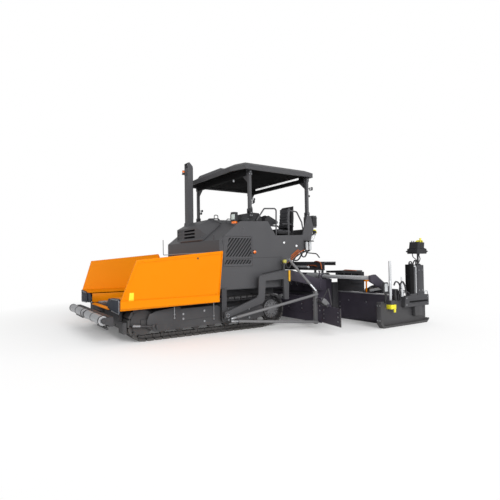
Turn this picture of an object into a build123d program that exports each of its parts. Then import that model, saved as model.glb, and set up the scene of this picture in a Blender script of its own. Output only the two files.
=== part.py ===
from build123d import *
from math import atan2, cos, degrees, hypot, pi, radians, sin
import os

# Tracked asphalt paver in millimetres.
# +X is the direction of travel, +Y its left side, +Z up.
# The origin lies on the ground, under the middle of the machine's box.

# General clearances
SEAT = 0.3

# Tracks
SPROCKET_X = -250.0
SPROCKET_Z = 390.0
IDLER_X = 2830.0
LOOP_R = 340.0
TRACK_OUT = 1275.0
SHOE_W = 320.0
SHOE_T = 42.0
SHOE_L = 142.0
SHOE_COUNT = 50
LINK_T = 60.0
LINK_W = 130.0
TRACK_Y = TRACK_OUT - SHOE_W / 2
WHEEL_R = LOOP_R - SHOE_T - LINK_T - SEAT
WHEEL_W = 90.0
HUB_R = 205.0
HUB_OUT = 1240.0
FIRST_ROLLER_X = 60.0
ROLLER_R = 88.0
ROLLER_COUNT = 7
ROLLER_PITCH = 375.0
ROLLER_Z = SHOE_T + LINK_T + ROLLER_R + SEAT
ROLLER_HALF = 50.0
HANGER_HALF = 26.0
FRAME_IN = 985.0
FRAME_LOW = 300.0
FRAME_TOP = 500.0

# Main frame
SIDE_IN = 860.0
SIDE_T = 40.0
SIDE_OUT = SIDE_IN + SIDE_T
FRAME_REAR = -620.0
FRAME_FRONT = 3250.0
KEEL_Z = 310.0
FLOOR_Z = 540.0
FLOOR_T = 30.0
TUNNEL_ROOF_Z = 860.0
TUNNEL_ROOF_T = 30.0
TUNNEL_FRONT = 1140.0
HOPPER_SIDE_Z = 770.0
FENDER_Z = 870.0
FENDER_T = 30.0

# Lashing eyes in the front cross beam
EYE_Y = 820.0
EYE_Z = 288.0
EYE_R = 25.0

# Body shell
BODY_HALF = 1250.0
BODY_FRONT = 1130.0
PANEL_T = 30.0
BELT_Z = 1930.0
HOOD_TOP_Z = 2345.0
HOOD_TOP_X = 590.0
DECK_Z = 1900.0
DECK_T = 25.0
# Side panel outline from the front lower corner round the rear to the hood: x, z
SIDE_OUTLINE = (
    (BODY_FRONT, FENDER_Z + FENDER_T),
    (-560, FENDER_Z + FENDER_T),
    (-580, 1310),
    (-850, 1480),
    (-1500, 1850),
    (-1640, 2250),
    (-1560, 2560),
    (-1420, 2560),
    (-1270, 2090),
    (-420, 2060),
    (-190, 2380),
    (HOOD_TOP_X, HOOD_TOP_Z),
    (BODY_FRONT, BELT_Z),
)
DOOR_X0 = 270.0
DOOR_X1 = 1030.0
DOOR_Z0 = 1370.0
DOOR_Z1 = 2010.0
DOOR_GAP = 6.0
HINGE_R = 11.0
HINGE_X = DOOR_X1 + 3
HINGE_Y = BODY_HALF + HINGE_R

# The two windows of each grille door, with slanted bars: x, z
UPPER_WINDOW = ((300, 1575), (975, 1575), (890, 1978), (300, 1978))
LOWER_WINDOW = ((300, 1415), (1000, 1415), (985, 1510), (300, 1510))
BAR_W = 24.0
BAR_PITCH = 80.0
BAR_TURN = 40.0

# Hood lid over the engine, and the raised middle of the hood
LID_HALF = 540.0
LID_T = 30.0
LID_GAP = 6.0
LID_REAR = 606.0
LID_PIN = (588.0, 2494.0)
LID_KNUCKLE_R = 12.0
LID_PIN_R = 6.0
HUMP_FRONT = (1050.0, 2290.0)
HUMP_KNEE = (700.0, 2480.0)
HUMP_REAR_Z = 2500.0
HUMP_Y = (-860.0, 120.0)
HUMP_FOOT_Y = 520.0
HUMP_STRIP_Y = -548.0
HUMP_SPLIT = 572.0
VENT_LEVELS = (2040.0, 2120.0, 2200.0)
VENT_H = 45.0
BULKHEAD_X = -190.0
HOOD_RISE = 35.0

# Lamps
BEACON = (655.0, 1130.0)
BEACON_R = 75.0
LAMP_R = 30.0
MARKER_R = 24.0

# Exhaust stack
STACK_X = 780.0
STACK_Y = -700.0
STACK_W = 180.0
STACK_L = 150.0
STACK_TOP = 4035.0
STACK_WALL = 8.0

# Hopper
WING_REAR = 1270.0
WING_FRONT = 3350.0
WING_REAR_TOP = 1690.0
WING_CORNER = (3090.0, 1520.0)
WING_NOSE_Z = 780.0
WING_HINGE_Y = 915.0
WING_HINGE_Z = 800.0
WING_T = 25.0
WING_CYL_X = 3215.0
WING_CYL_BASE = (965.0, 610.0)
WING_CYL_EYE = (1330.0, 772.0)

# Push rollers
ROLLER_AXIS_X = 3600.0
ROLLER_AXIS_Z = 440.0
PUSH_R = 85.0
PUSH_IN = 95.0
PUSH_OUT = 1200.0
BEAM_PIVOT_X = 3340.0

# Augers
AUGER_X = -1200.0
AUGER_Z = 430.0
AUGER_R = 200.0
AUGER_SHAFT_R = 45.0
AUGER_IN = 105.0
AUGER_OUT = 2050.0
AUGER_PITCH = 320.0

# Auger tunnel
TUNNEL_X = -950.0
TUNNEL_T = 20.0
TUNNEL_LOW = 110.0
TUNNEL_TOP = 660.0
TUNNEL_OUT = 2080.0
WING_PLATE_OUT = 2760.0

# Tow points and arms
TOW_X = 1070.0
TOW_Z = 360.0
TOW_PIN_R = 35.0
ARM_IN = 1385.0
ARM_T = 45.0
ARM_TOP = 1262.0

GUIDE_Y = 1290.0
BRACE_Y = 1478.0
BRACE_R = 19.0
BRACKET_Z = 1480.0

# Screed
SCREED_FRONT = -1480.0
SCREED_REAR = -2300.0
SCREED_HALF = 1250.0
EXT_FRONT = -2440.0
EXT_REAR = -2960.0
EXT_OUT = 2740.0
LEFT_ROD_X = -1930.0
RIGHT_ROD_X = -2120.0
GUIDE_Z = 1075.0
GUIDE_R = 45.0
SLEEVE_R = 75.0

# End gates
GATE_IN = EXT_OUT + 8
GATE_T = 110.0
GATE_FRONT = -1900.0
GATE_REAR = -3685.0
GATE_TOP = 560.0

# Canopy
POST_Y = 1150.0
FRONT_POST_X = 240.0
REAR_POST_X = -1525.0
POST_PIVOT_Z = 2620.0
POST_TOP_Z = 3450.0
POST_W = 70.0


def block(x, y, z, mode=Mode.ADD):
    """A box between two values on each axis."""
    middle = [(pair[0] + pair[1]) / 2 for pair in (x, y, z)]
    size = [abs(pair[1] - pair[0]) for pair in (x, y, z)]
    with Locations(tuple(middle)):
        Box(*size, mode=mode)


def pair_block(x, y, z, mode=Mode.ADD):
    """The same box on the left and on the right."""
    block(x, y, z, mode)
    block(x, (-y[1], -y[0]), z, mode)


def rod(start, end, radius, mode=Mode.ADD):
    """A round bar from one point to another."""
    first = Vector(*start)
    run = Vector(*end) - first
    with BuildSketch(Plane(origin=first, z_dir=run)) as section:
        Circle(radius)
    extrude(section.sketch, amount=run.length, mode=mode)


def side_plate(points, y, mode=Mode.ADD):
    """A plate with an outline of (x, z) points, between two values of y."""
    plane = Plane(origin=(0, y[0], 0), x_dir=(1, 0, 0), z_dir=(0, -1, 0))
    with BuildSketch(plane) as outline:
        with BuildLine():
            Polyline(*points, close=True)
        make_face()
    extrude(outline.sketch, amount=y[0] - y[1], mode=mode)


def rounded_plate(points, radius, y):
    """A side plate whose corners all have one radius."""
    plane = Plane(origin=(0, y[0], 0), x_dir=(1, 0, 0), z_dir=(0, -1, 0))
    with BuildSketch(plane) as outline:
        with BuildLine():
            Polyline(*points, close=True)
        make_face()
        fillet(outline.vertices(), radius)
    extrude(outline.sketch, amount=y[0] - y[1])


def wedge(first, first_y, last, last_y):
    """A solid between two outlines of (x, z) points at two values of y."""
    ends = []
    for points, y in ((first, first_y), (last, last_y)):
        with BuildSketch(Plane(origin=(0, y, 0), x_dir=(1, 0, 0), z_dir=(0, -1, 0))) as end:
            with BuildLine():
                Polyline(*points, close=True)
            make_face()
        ends.append(end.sketch.face())
    loft(sections=ends, ruled=True)


def cross_plate(points, x, mode=Mode.ADD):
    """A plate with an outline of (y, z) points, between two values of x."""
    with BuildSketch(Plane(origin=(x[0], 0, 0), x_dir=(0, 1, 0), z_dir=(1, 0, 0))) as outline:
        with BuildLine():
            Polyline(*points, close=True)
        make_face()
    extrude(outline.sketch, amount=x[1] - x[0], mode=mode)


def flat_plate(points, z, mode=Mode.ADD):
    """A plate with an outline of (x, y) points, between two values of z."""
    with BuildSketch(Plane.XY.offset(z[0])) as outline:
        with BuildLine():
            Polyline(*points, close=True)
        make_face()
    extrude(outline.sketch, amount=z[1] - z[0], mode=mode)


def save(part, name):
    part.label = name
    export_step(part, f"parts/{name}.step")


os.makedirs("parts", exist_ok=True)


# Tracks
# The top run falls a little towards the front idler
RISE = SPROCKET_Z - LOOP_R
TOP_SLOPE = atan2(RISE, IDLER_X - SPROCKET_X)


def tangent_from(point, centre, radius):
    """Where the lower line from a point touches a circle behind it."""
    away = Vector(point[0] - centre[0], point[1] - centre[1])
    spread = degrees(atan2((away.length**2 - radius**2) ** 0.5, radius))
    angle = radians(degrees(atan2(away.Y, away.X)) - spread)
    return centre[0] + radius * cos(angle), centre[1] + radius * sin(angle), degrees(angle)


def loop_outline(inset):
    """The track's outline, set in from its outer line."""
    radius = LOOP_R - inset
    up = pi / 2 - TOP_SLOPE
    front_top = (IDLER_X + radius * cos(up), LOOP_R + radius * sin(up))
    rear_top = (SPROCKET_X + radius * cos(up), SPROCKET_Z + radius * sin(up))
    knee = (FIRST_ROLLER_X, inset)
    rear_low = tangent_from(knee, (SPROCKET_X, SPROCKET_Z), radius)
    return radius, front_top, rear_top, knee, rear_low


def loop_face(inset):
    """Lines and arcs of the outline in the active sketch."""
    radius, front_top, rear_top, knee, rear_low = loop_outline(inset)
    Polyline(rear_low[:2], knee, (IDLER_X, inset))
    ThreePointArc((IDLER_X, inset), (IDLER_X + radius, LOOP_R), front_top)
    Line(front_top, rear_top)
    ThreePointArc(rear_top, (SPROCKET_X - radius, SPROCKET_Z), rear_low[:2])


def shoe_places():
    """Middle and turn of each shoe, evenly along the loop."""
    inset = SHOE_T / 2
    radius, front_top, rear_top, knee, rear_low = loop_outline(inset)
    top_angle = 90 - degrees(TOP_SLOPE)
    pieces = (
        ("line", knee, (IDLER_X, inset)),
        ("arc", (IDLER_X, LOOP_R), -90.0, top_angle),
        ("line", front_top, rear_top),
        ("arc", (SPROCKET_X, SPROCKET_Z), top_angle, 360 + rear_low[2]),
        ("line", rear_low[:2], knee),
    )
    spans = []
    for piece in pieces:
        if piece[0] == "line":
            spans.append(hypot(piece[2][0] - piece[1][0], piece[2][1] - piece[1][1]))
        else:
            spans.append(radius * radians(piece[3] - piece[2]))
    pitch = sum(spans) / SHOE_COUNT
    for number in range(SHOE_COUNT):
        way = (number + 0.5) * pitch
        for piece, span in zip(pieces, spans):
            if way <= span:
                break
            way -= span
        share = way / span
        if piece[0] == "line":
            x = piece[1][0] + share * (piece[2][0] - piece[1][0])
            z = piece[1][1] + share * (piece[2][1] - piece[1][1])
            turn = degrees(atan2(piece[2][1] - piece[1][1], piece[2][0] - piece[1][0]))
        else:
            angle = piece[2] + share * (piece[3] - piece[2])
            x = piece[1][0] + radius * cos(radians(angle))
            z = piece[1][1] + radius * sin(radians(angle))
            turn = angle + 90
        yield x, z, turn


with BuildPart() as track_left:
    for reach, mode in ((SHOE_T, Mode.ADD), (SHOE_T + LINK_T, Mode.SUBTRACT)):
        with BuildSketch(Plane(origin=(0, TRACK_Y - LINK_W / 2, 0), x_dir=(1, 0, 0), z_dir=(0, -1, 0))) as ring:
            with BuildLine():
                loop_face(reach)
            make_face()
        extrude(ring.sketch, amount=-LINK_W, mode=mode)
    with BuildSketch(Plane(origin=(0, TRACK_Y - SHOE_W / 2, 0), x_dir=(1, 0, 0), z_dir=(0, -1, 0))) as shoes:
        for x, z, turn in shoe_places():
            with Locations(Location((x, z), turn)):
                Rectangle(SHOE_L, SHOE_T + 2)
    extrude(shoes.sketch, amount=-SHOE_W)
save(track_left.part, "track_left")

with BuildPart() as track_right:
    mirror(track_left.part, about=Plane.XZ)
save(track_right.part, "track_right")

# Track frames, one each side, with the guard plate that covers the rollers
FRAME_PLATE = (
    (SPROCKET_X - 60, SPROCKET_Z - 80),
    (FIRST_ROLLER_X + 150, 190),
    (IDLER_X - 420, 150),
    (IDLER_X - 330, 250),
    (IDLER_X - 150, 290),
    (IDLER_X - 150, 400),
    (IDLER_X - 330, 470),
    (IDLER_X - 420, 540),
    (1180, 560),
    (1080, 500),
    (SPROCKET_X - 60, SPROCKET_Z + 60),
)
ROLLER_XS = [FIRST_ROLLER_X + 110 + number * ROLLER_PITCH for number in range(ROLLER_COUNT)]
PLATE_IN = TRACK_Y + LINK_W / 2 + 20
with BuildPart() as track_frames:
    for side in (1, -1):
        y = sorted((side * FRAME_IN, side * (PLATE_IN + 20)))
        block((SPROCKET_X + WHEEL_R + 40, IDLER_X - WHEEL_R - 40), y, (FRAME_LOW, FRAME_TOP))
        y = sorted((side * PLATE_IN, side * (PLATE_IN + 20)))
        rounded_plate(FRAME_PLATE, 45, y)
        # The outer plate is open round the drive hub
        rod((SPROCKET_X, y[0] - 1, SPROCKET_Z), (SPROCKET_X, y[1] + 1, SPROCKET_Z), HUB_R + 12, Mode.SUBTRACT)
        # A hanger on each side of every roller holds its ends
        inner = sorted((side * FRAME_IN, side * (TRACK_Y - ROLLER_HALF - SEAT)))
        outer = sorted((side * (TRACK_Y + ROLLER_HALF + SEAT), side * PLATE_IN))
        for x in ROLLER_XS:
            block((x - HANGER_HALF, x + HANGER_HALF), inner, (ROLLER_Z - HANGER_HALF, FRAME_LOW))
            block((x - HANGER_HALF, x + HANGER_HALF), outer, (ROLLER_Z - HANGER_HALF, ROLLER_Z + HANGER_HALF))
save(track_frames.part, "track_frames")

# Rollers, drive wheels with their hubs, and the front idlers on their forks
with BuildPart() as track_wheels:
    for side in (1, -1):
        y = sorted((side * (TRACK_Y - ROLLER_HALF), side * (TRACK_Y + ROLLER_HALF)))
        for x in ROLLER_XS:
            rod((x, y[0], ROLLER_Z), (x, y[1], ROLLER_Z), ROLLER_R)
        y = sorted((side * (TRACK_Y - WHEEL_W / 2), side * (TRACK_Y + WHEEL_W / 2)))
        rod((SPROCKET_X, y[0], SPROCKET_Z), (SPROCKET_X, y[1], SPROCKET_Z), WHEEL_R)
        rod((SPROCKET_X, side * SIDE_OUT, SPROCKET_Z), (SPROCKET_X, side * HUB_OUT, SPROCKET_Z), HUB_R)
        rod((SPROCKET_X, side * HUB_OUT, SPROCKET_Z), (SPROCKET_X, side * (HUB_OUT + 18), SPROCKET_Z), 150)
        rod((IDLER_X, y[0], LOOP_R), (IDLER_X, y[1], LOOP_R), WHEEL_R)
        for at in (y[0] - 26, y[1] + 4):
            block((IDLER_X - WHEEL_R - 40, IDLER_X + 45), (at, at + 22), (LOOP_R - 45, LOOP_R + 45))
        rod((IDLER_X, y[0] - 26, LOOP_R), (IDLER_X, y[1] + 26, LOOP_R), 40)
save(track_wheels.part, "track_wheels")

# Main frame: side plates, conveyor floor, tunnel, fenders and cross beams
with BuildPart() as main_frame:
    pair_block((FRAME_REAR, FRAME_FRONT), (SIDE_IN, SIDE_OUT), (KEEL_Z, HOPPER_SIDE_Z))
    pair_block((FRAME_REAR, BODY_FRONT), (SIDE_IN, SIDE_OUT), (HOPPER_SIDE_Z, FENDER_Z + FENDER_T))
    block((TUNNEL_X, FRAME_FRONT), (-SIDE_IN, SIDE_IN), (FLOOR_Z, FLOOR_Z + FLOOR_T))
    block((FRAME_REAR, TUNNEL_FRONT), (-SIDE_IN, SIDE_IN), (TUNNEL_ROOF_Z, TUNNEL_ROOF_Z + TUNNEL_ROOF_T))
    block((FRAME_REAR - 120, TUNNEL_FRONT), (-45, 45), (FLOOR_Z, TUNNEL_ROOF_Z))
    # Chain guard down the middle of the hopper floor
    side_plate(((TUNNEL_FRONT, FLOOR_Z), (FRAME_FRONT, FLOOR_Z), (FRAME_FRONT, 610), (TUNNEL_FRONT, 760)), (-45, 45))
    # Fenders over the tracks
    pair_block((-560, BODY_FRONT), (SIDE_OUT, BODY_HALF), (FENDER_Z, FENDER_Z + FENDER_T))
    # Cross beams under the floor carry the track frames
    for x in (450, 1350, 2250):
        block((x - 60, x + 60), (-FRAME_IN, FRAME_IN), (KEEL_Z + 40, KEEL_Z + 160))
    # Belly plate
    block((FRAME_REAR, FRAME_FRONT - 350), (-SIDE_IN, SIDE_IN), (KEEL_Z, KEEL_Z + 20))
    # Front cross beam with its outer ends ahead of the tracks, and the lug of the push beam
    pair_block((FRAME_FRONT - 65, FRAME_FRONT), (1010, TRACK_OUT - 5), (170, 380))
    block((FRAME_FRONT - 65, FRAME_FRONT), (-1010, 1010), (KEEL_Z - 60, FLOOR_Z))
    for side in (1, -1):
        rod((FRAME_FRONT - 66, side * EYE_Y, EYE_Z), (FRAME_FRONT + 1, side * EYE_Y, EYE_Z), EYE_R, Mode.SUBTRACT)
    block((FRAME_FRONT, BEAM_PIVOT_X + 45), (-110, 110), (330, 352))
    block((FRAME_FRONT, BEAM_PIVOT_X + 45), (-110, 110), (488, 510))
    rod((BEAM_PIVOT_X, 0, 330), (BEAM_PIVOT_X, 0, 510), 28)
    # Lugs of the wing cylinders
    for side in (1, -1):
        low, high = sorted((side * 935, side * 995))
        block((WING_CYL_X - 44, FRAME_FRONT + 10), (low, high), (FLOOR_Z, FLOOR_Z + 14))
        block((WING_CYL_X - 44, WING_CYL_X - 32), (low, high), (FLOOR_Z, 640))
        block((WING_CYL_X + 32, WING_CYL_X + 44), (low, high), (FLOOR_Z, 640))
        rod((WING_CYL_X - 44, side * WING_CYL_BASE[0], WING_CYL_BASE[1]),
            (WING_CYL_X + 44, side * WING_CYL_BASE[0], WING_CYL_BASE[1]), 12)
    # Rear wall above the conveyor mouths
    block((FRAME_REAR - 40, FRAME_REAR), (-BODY_HALF + 60, BODY_HALF - 60), (TUNNEL_ROOF_Z, 1330))
    # Guides of the tow points, hung from the fenders, with the fork of the braces
    for side in (1, -1):
        low, high = sorted((side * GUIDE_Y, side * (GUIDE_Y + 30)))
        side_plate(((1010, FENDER_Z + FENDER_T), (1130, FENDER_Z + FENDER_T), (1130, 250), (1100, 215), (1040, 215), (1010, 250)),
                   (low, high))
        block((1010, 1130), sorted((side * BODY_HALF, side * GUIDE_Y)), (FENDER_Z, FENDER_Z + FENDER_T))
        block((985, 1024), sorted((side * GUIDE_Y, side * (GUIDE_Y + 30))), (205, 312))
        block((985, 1010), sorted((side * (GUIDE_Y + 30), side * (BRACE_Y - BRACE_R - SEAT))), (205, 220))
        block((985, 1010), sorted((side * (ARM_IN + ARM_T + 7), side * (BRACE_Y - BRACE_R - SEAT))), (205, 312))
save(main_frame.part, "main_frame")

with BuildPart() as slat_conveyors:
    for side in (1, -1):
        for y in (110, SIDE_IN - 120):
            low, high = sorted((side * y, side * (y + 50)))
            block((FRAME_REAR - 60, FRAME_FRONT - 120), (low, high), (FLOOR_Z + FLOOR_T, FLOOR_Z + FLOOR_T + 30))
        slat = FRAME_REAR + 60
        while slat < FRAME_FRONT - 180:
            low, high = sorted((side * 130, side * (SIDE_IN - 100)))
            block((slat, slat + 40), (low, high), (FLOOR_Z + FLOOR_T, FLOOR_Z + FLOOR_T + 24))
            slat += 320
save(slat_conveyors.part, "slat_conveyors")

with BuildPart() as engine_block:
    block((-380, 620), (-420, 420), (TUNNEL_ROOF_Z + TUNNEL_ROOF_T, 1700))
save(engine_block.part, "engine_block")

# Hollow body: side panels, front wall, sloped hood and deck edge
SLOPE_FALL = HOOD_TOP_Z - BELT_Z
SLOPE_RUN = BODY_FRONT - HOOD_TOP_X
SLOPE_LENGTH = hypot(SLOPE_RUN, SLOPE_FALL)
slope = Plane(origin=(HOOD_TOP_X, 0, HOOD_TOP_Z), x_dir=(SLOPE_RUN, 0, -SLOPE_FALL), z_dir=(SLOPE_FALL, 0, SLOPE_RUN))


def hood_z(x):
    """Height of the hood's surface."""
    if x > HOOD_TOP_X:
        return HOOD_TOP_Z - (x - HOOD_TOP_X) * SLOPE_FALL / SLOPE_RUN
    return HOOD_TOP_Z + (HOOD_TOP_X - x) * HOOD_RISE / (HOOD_TOP_X - BULKHEAD_X)


with BuildPart() as body_shell:
    for side in (1, -1):
        y = sorted((side * BODY_HALF, side * (BODY_HALF - PANEL_T)))
        side_plate(SIDE_OUTLINE, y)
        block((DOOR_X0 - DOOR_GAP, DOOR_X1 + DOOR_GAP), (y[0] - 1, y[1] + 1),
              (DOOR_Z0 - DOOR_GAP, DOOR_Z1 + DOOR_GAP), Mode.SUBTRACT)
    inner = BODY_HALF - PANEL_T
    block((BODY_FRONT - PANEL_T, BODY_FRONT), (-inner, inner), (FENDER_Z + FENDER_T, BELT_Z - PANEL_T))
    # Sloped hood
    side_plate(
        (
            (BODY_FRONT, BELT_Z - PANEL_T),
            (BODY_FRONT, BELT_Z),
            (HOOD_TOP_X, HOOD_TOP_Z),
            (BULKHEAD_X, HOOD_TOP_Z + HOOD_RISE),
            (BULKHEAD_X, HOOD_TOP_Z + HOOD_RISE - PANEL_T),
            (HOOD_TOP_X, HOOD_TOP_Z - PANEL_T),
            (BODY_FRONT - PANEL_T, BELT_Z - PANEL_T),
        ),
        (-inner, inner),
    )
    # Raised middle of the hood behind the lid, with a sloped left flank
    crest = (
        (HUMP_SPLIT, hood_z(HUMP_SPLIT) - 10),
        (HUMP_SPLIT, LID_PIN[1] - 8),
        (BULKHEAD_X, HUMP_REAR_Z),
        (BULKHEAD_X, hood_z(BULKHEAD_X) - 10),
    )
    side_plate(crest, HUMP_Y)
    flank = (
        (HUMP_SPLIT, hood_z(HUMP_SPLIT) - 10),
        (HUMP_SPLIT, hood_z(HUMP_SPLIT) + 6),
        (BULKHEAD_X, hood_z(BULKHEAD_X) + 6),
        (BULKHEAD_X, hood_z(BULKHEAD_X) - 10),
    )
    wedge(crest, HUMP_Y[1], flank, HUMP_FOOT_Y)
    # Its right-hand strip beside the lid carries the stack
    side_plate(
        (
            (HUMP_FRONT[0], hood_z(HUMP_FRONT[0]) - 10),
            HUMP_FRONT,
            HUMP_KNEE,
            (HUMP_SPLIT, LID_PIN[1] - 8),
            (HUMP_SPLIT, HOOD_TOP_Z - 10),
            (HOOD_TOP_X, HOOD_TOP_Z - 10),
        ),
        (HUMP_Y[0], HUMP_STRIP_Y),
    )
    for z in VENT_LEVELS:
        block((HUMP_FRONT[0] - 18, HUMP_FRONT[0] + 1), (HUMP_Y[0] + 30, HUMP_STRIP_Y - 40), (z, z + VENT_H), Mode.SUBTRACT)
    # Bulkhead between hood and operator's place
    block((BULKHEAD_X, BULKHEAD_X + PANEL_T), (-inner, inner), (DECK_Z, HOOD_TOP_Z + HOOD_RISE - PANEL_T))
    # Rear wall under the platform
    side_plate(((-560, 1310), (-850, 1480), (-1500, 1850), (-1500, 1874), (-850, 1510), (-560, 1345)), (-inner, inner))
    # Openings under the lid and round the exhaust stack
    with BuildSketch(slope.offset(20)) as bay:
        with Locations((SLOPE_LENGTH / 2 + 10, 0)):
            Rectangle(SLOPE_LENGTH - 150, 2 * LID_HALF - 90)
    extrude(amount=-60 - PANEL_T, mode=Mode.SUBTRACT)
    block((STACK_X - STACK_L / 2 - SEAT, STACK_X + STACK_L / 2 + SEAT),
          (STACK_Y - STACK_W / 2 - SEAT, STACK_Y + STACK_W / 2 + SEAT), (BELT_Z, HUMP_REAR_Z + 60), Mode.SUBTRACT)
    # Fixed knuckles of the side doors
    for side in (1, -1):
        for z in (DOOR_Z0 + 50, DOOR_Z1 - 80 + SEAT):
            rod((HINGE_X, side * HINGE_Y, z), (HINGE_X, side * HINGE_Y, z + 30 - SEAT), HINGE_R)
            plate_y = sorted((side * BODY_HALF, side * (BODY_HALF + 6)))
            block((HINGE_X, HINGE_X + 55), plate_y, (z, z + 30 - SEAT))
    # Ears and pins of the lid
    for low, high, reach in ((HUMP_STRIP_Y - 12, HUMP_STRIP_Y, 70), (HUMP_Y[1] + 6, HUMP_Y[1] + 18, -70)):
        block((HUMP_SPLIT - 30, LID_PIN[0] + 14), (low, high), (LID_PIN[1] - 54, LID_PIN[1] + 12))
        rod((LID_PIN[0], low + 1, LID_PIN[1]), (LID_PIN[0], low + reach, LID_PIN[1]), LID_PIN_R)
    # Round beacon on the left shoulder of the hood
    foot = hood_z(BEACON[0])
    rod((*BEACON, foot - 20), (*BEACON, foot + 60), BEACON_R - 20)
    rod((*BEACON, foot + 60), (*BEACON, foot + 245), BEACON_R)
save(body_shell.part, "body_shell")

# Grille doors on the sides, hinged at their front edge
with BuildPart() as grille_door_left:
    block((DOOR_X0, DOOR_X1), (BODY_HALF - PANEL_T, BODY_HALF), (DOOR_Z0, DOOR_Z1))
    with BuildSketch(Plane(origin=(0, BODY_HALF + 1, 0), x_dir=(1, 0, 0), z_dir=(0, -1, 0))) as windows:
        for window in (UPPER_WINDOW, LOWER_WINDOW):
            with BuildLine():
                Polyline(*window, close=True)
            make_face()
        bar_count = round(2 * (DOOR_X1 - DOOR_X0) / BAR_PITCH)
        with Locations(((DOOR_X0 + DOOR_X1) / 2, (DOOR_Z0 + DOOR_Z1) / 2)):
            with GridLocations(BAR_PITCH, 1, bar_count, 1):
                Rectangle(BAR_W, 2 * (DOOR_Z1 - DOOR_Z0), rotation=BAR_TURN, mode=Mode.SUBTRACT)
    extrude(windows.sketch, amount=PANEL_T + 2, mode=Mode.SUBTRACT)
    for z in (DOOR_Z0 + 80, DOOR_Z1 - 160):
        rod((HINGE_X, HINGE_Y, z), (HINGE_X, HINGE_Y, z + 80), HINGE_R)
        block((HINGE_X - 55, HINGE_X), (BODY_HALF, BODY_HALF + 6), (z, z + 80))
save(grille_door_left.part, "grille_door_left")

with BuildPart() as grille_door_right:
    mirror(grille_door_left.part, about=Plane.XZ)
save(grille_door_right.part, "grille_door_right")

# Hood lid on the slope: a flat skin with the raised, hollow middle of the hood and its vents
LID_WALL = 25.0
KNUCKLE_Y = (-530.0, 110.0)
with BuildPart() as hood_lid:
    with BuildSketch(slope.offset(LID_GAP)) as skin:
        with Locations((SLOPE_LENGTH / 2 + 10, 0)):
            Rectangle(SLOPE_LENGTH - 60, 2 * LID_HALF)
    extrude(amount=LID_T)
    raised = (
        (HUMP_FRONT[0], hood_z(HUMP_FRONT[0]) + LID_T),
        HUMP_FRONT,
        HUMP_KNEE,
        (LID_REAR, LID_PIN[1] - 8),
        (LID_REAR, hood_z(LID_REAR) + LID_T),
    )
    side_plate(raised, (-LID_HALF, HUMP_Y[1]))
    flank = (
        (HUMP_FRONT[0] - 50, hood_z(HUMP_FRONT[0] - 50) + LID_T),
        (HUMP_FRONT[0] - 60, hood_z(HUMP_FRONT[0] - 60) + LID_T + 12),
        (HUMP_KNEE[0] + 20, hood_z(HUMP_KNEE[0] + 20) + LID_T + 22),
        (LID_REAR + 34, hood_z(LID_REAR + 34) + LID_T + 22),
        (LID_REAR + 34, hood_z(LID_REAR + 34) + LID_T),
    )
    wedge(raised, HUMP_Y[1], flank, HUMP_FOOT_Y)
    side_plate(
        (
            (HUMP_FRONT[0] - LID_WALL, hood_z(HUMP_FRONT[0] - LID_WALL) - LID_T),
            (HUMP_FRONT[0] - LID_WALL, HUMP_FRONT[1] - LID_WALL),
            (HUMP_KNEE[0], HUMP_KNEE[1] - 1.3 * LID_WALL),
            (LID_REAR + 45, LID_PIN[1] - 8 - 1.3 * LID_WALL),
            (LID_REAR + 45, hood_z(LID_REAR + 45) - LID_T),
        ),
        (-LID_HALF + LID_WALL, HUMP_Y[1] - LID_WALL),
        Mode.SUBTRACT,
    )
    for z in VENT_LEVELS:
        block((HUMP_FRONT[0] - LID_WALL - 5, HUMP_FRONT[0] + 5), (-LID_HALF + 60, HUMP_Y[1] - 60), (z, z + VENT_H), Mode.SUBTRACT)
    # Knuckle on its leaf, with bores for the two pins
    block((LID_PIN[0], LID_PIN[0] + 62), (KNUCKLE_Y[0] + 30, KNUCKLE_Y[1] - 30), (LID_PIN[1] - 16, LID_PIN[1]))
    rod((LID_PIN[0], KNUCKLE_Y[0], LID_PIN[1]), (LID_PIN[0], KNUCKLE_Y[1], LID_PIN[1]), LID_KNUCKLE_R)
    for low, high in ((KNUCKLE_Y[0] - 1, KNUCKLE_Y[0] + 60), (KNUCKLE_Y[1] - 60, KNUCKLE_Y[1] + 1)):
        rod((LID_PIN[0], low, LID_PIN[1]), (LID_PIN[0], high, LID_PIN[1]), LID_PIN_R + SEAT, Mode.SUBTRACT)
save(hood_lid.part, "hood_lid")

# Exhaust stack, its top bent forwards, with a small lamp on its front
with BuildPart() as exhaust_stack:
    front = STACK_X + STACK_L / 2
    rear = STACK_X - STACK_L / 2
    y = (STACK_Y - STACK_W / 2, STACK_Y + STACK_W / 2)
    foot = hood_z(STACK_X) - 100
    side_plate(((rear, foot), (front, foot), (front, STACK_TOP - 20), (front - 50, STACK_TOP), (rear, STACK_TOP - 105)), y)
    block((front - 110, front + 1), (y[0] + STACK_WALL, y[1] - STACK_WALL), (STACK_TOP - 150, STACK_TOP - 30), Mode.SUBTRACT)
    block((front, front + 115), (STACK_Y - 25, STACK_Y + 25), (STACK_TOP - 325, STACK_TOP - 310))
    rod((front + 80, STACK_Y, STACK_TOP - 310), (front + 80, STACK_Y, STACK_TOP - 215), LAMP_R)
save(exhaust_stack.part, "exhaust_stack")

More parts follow.
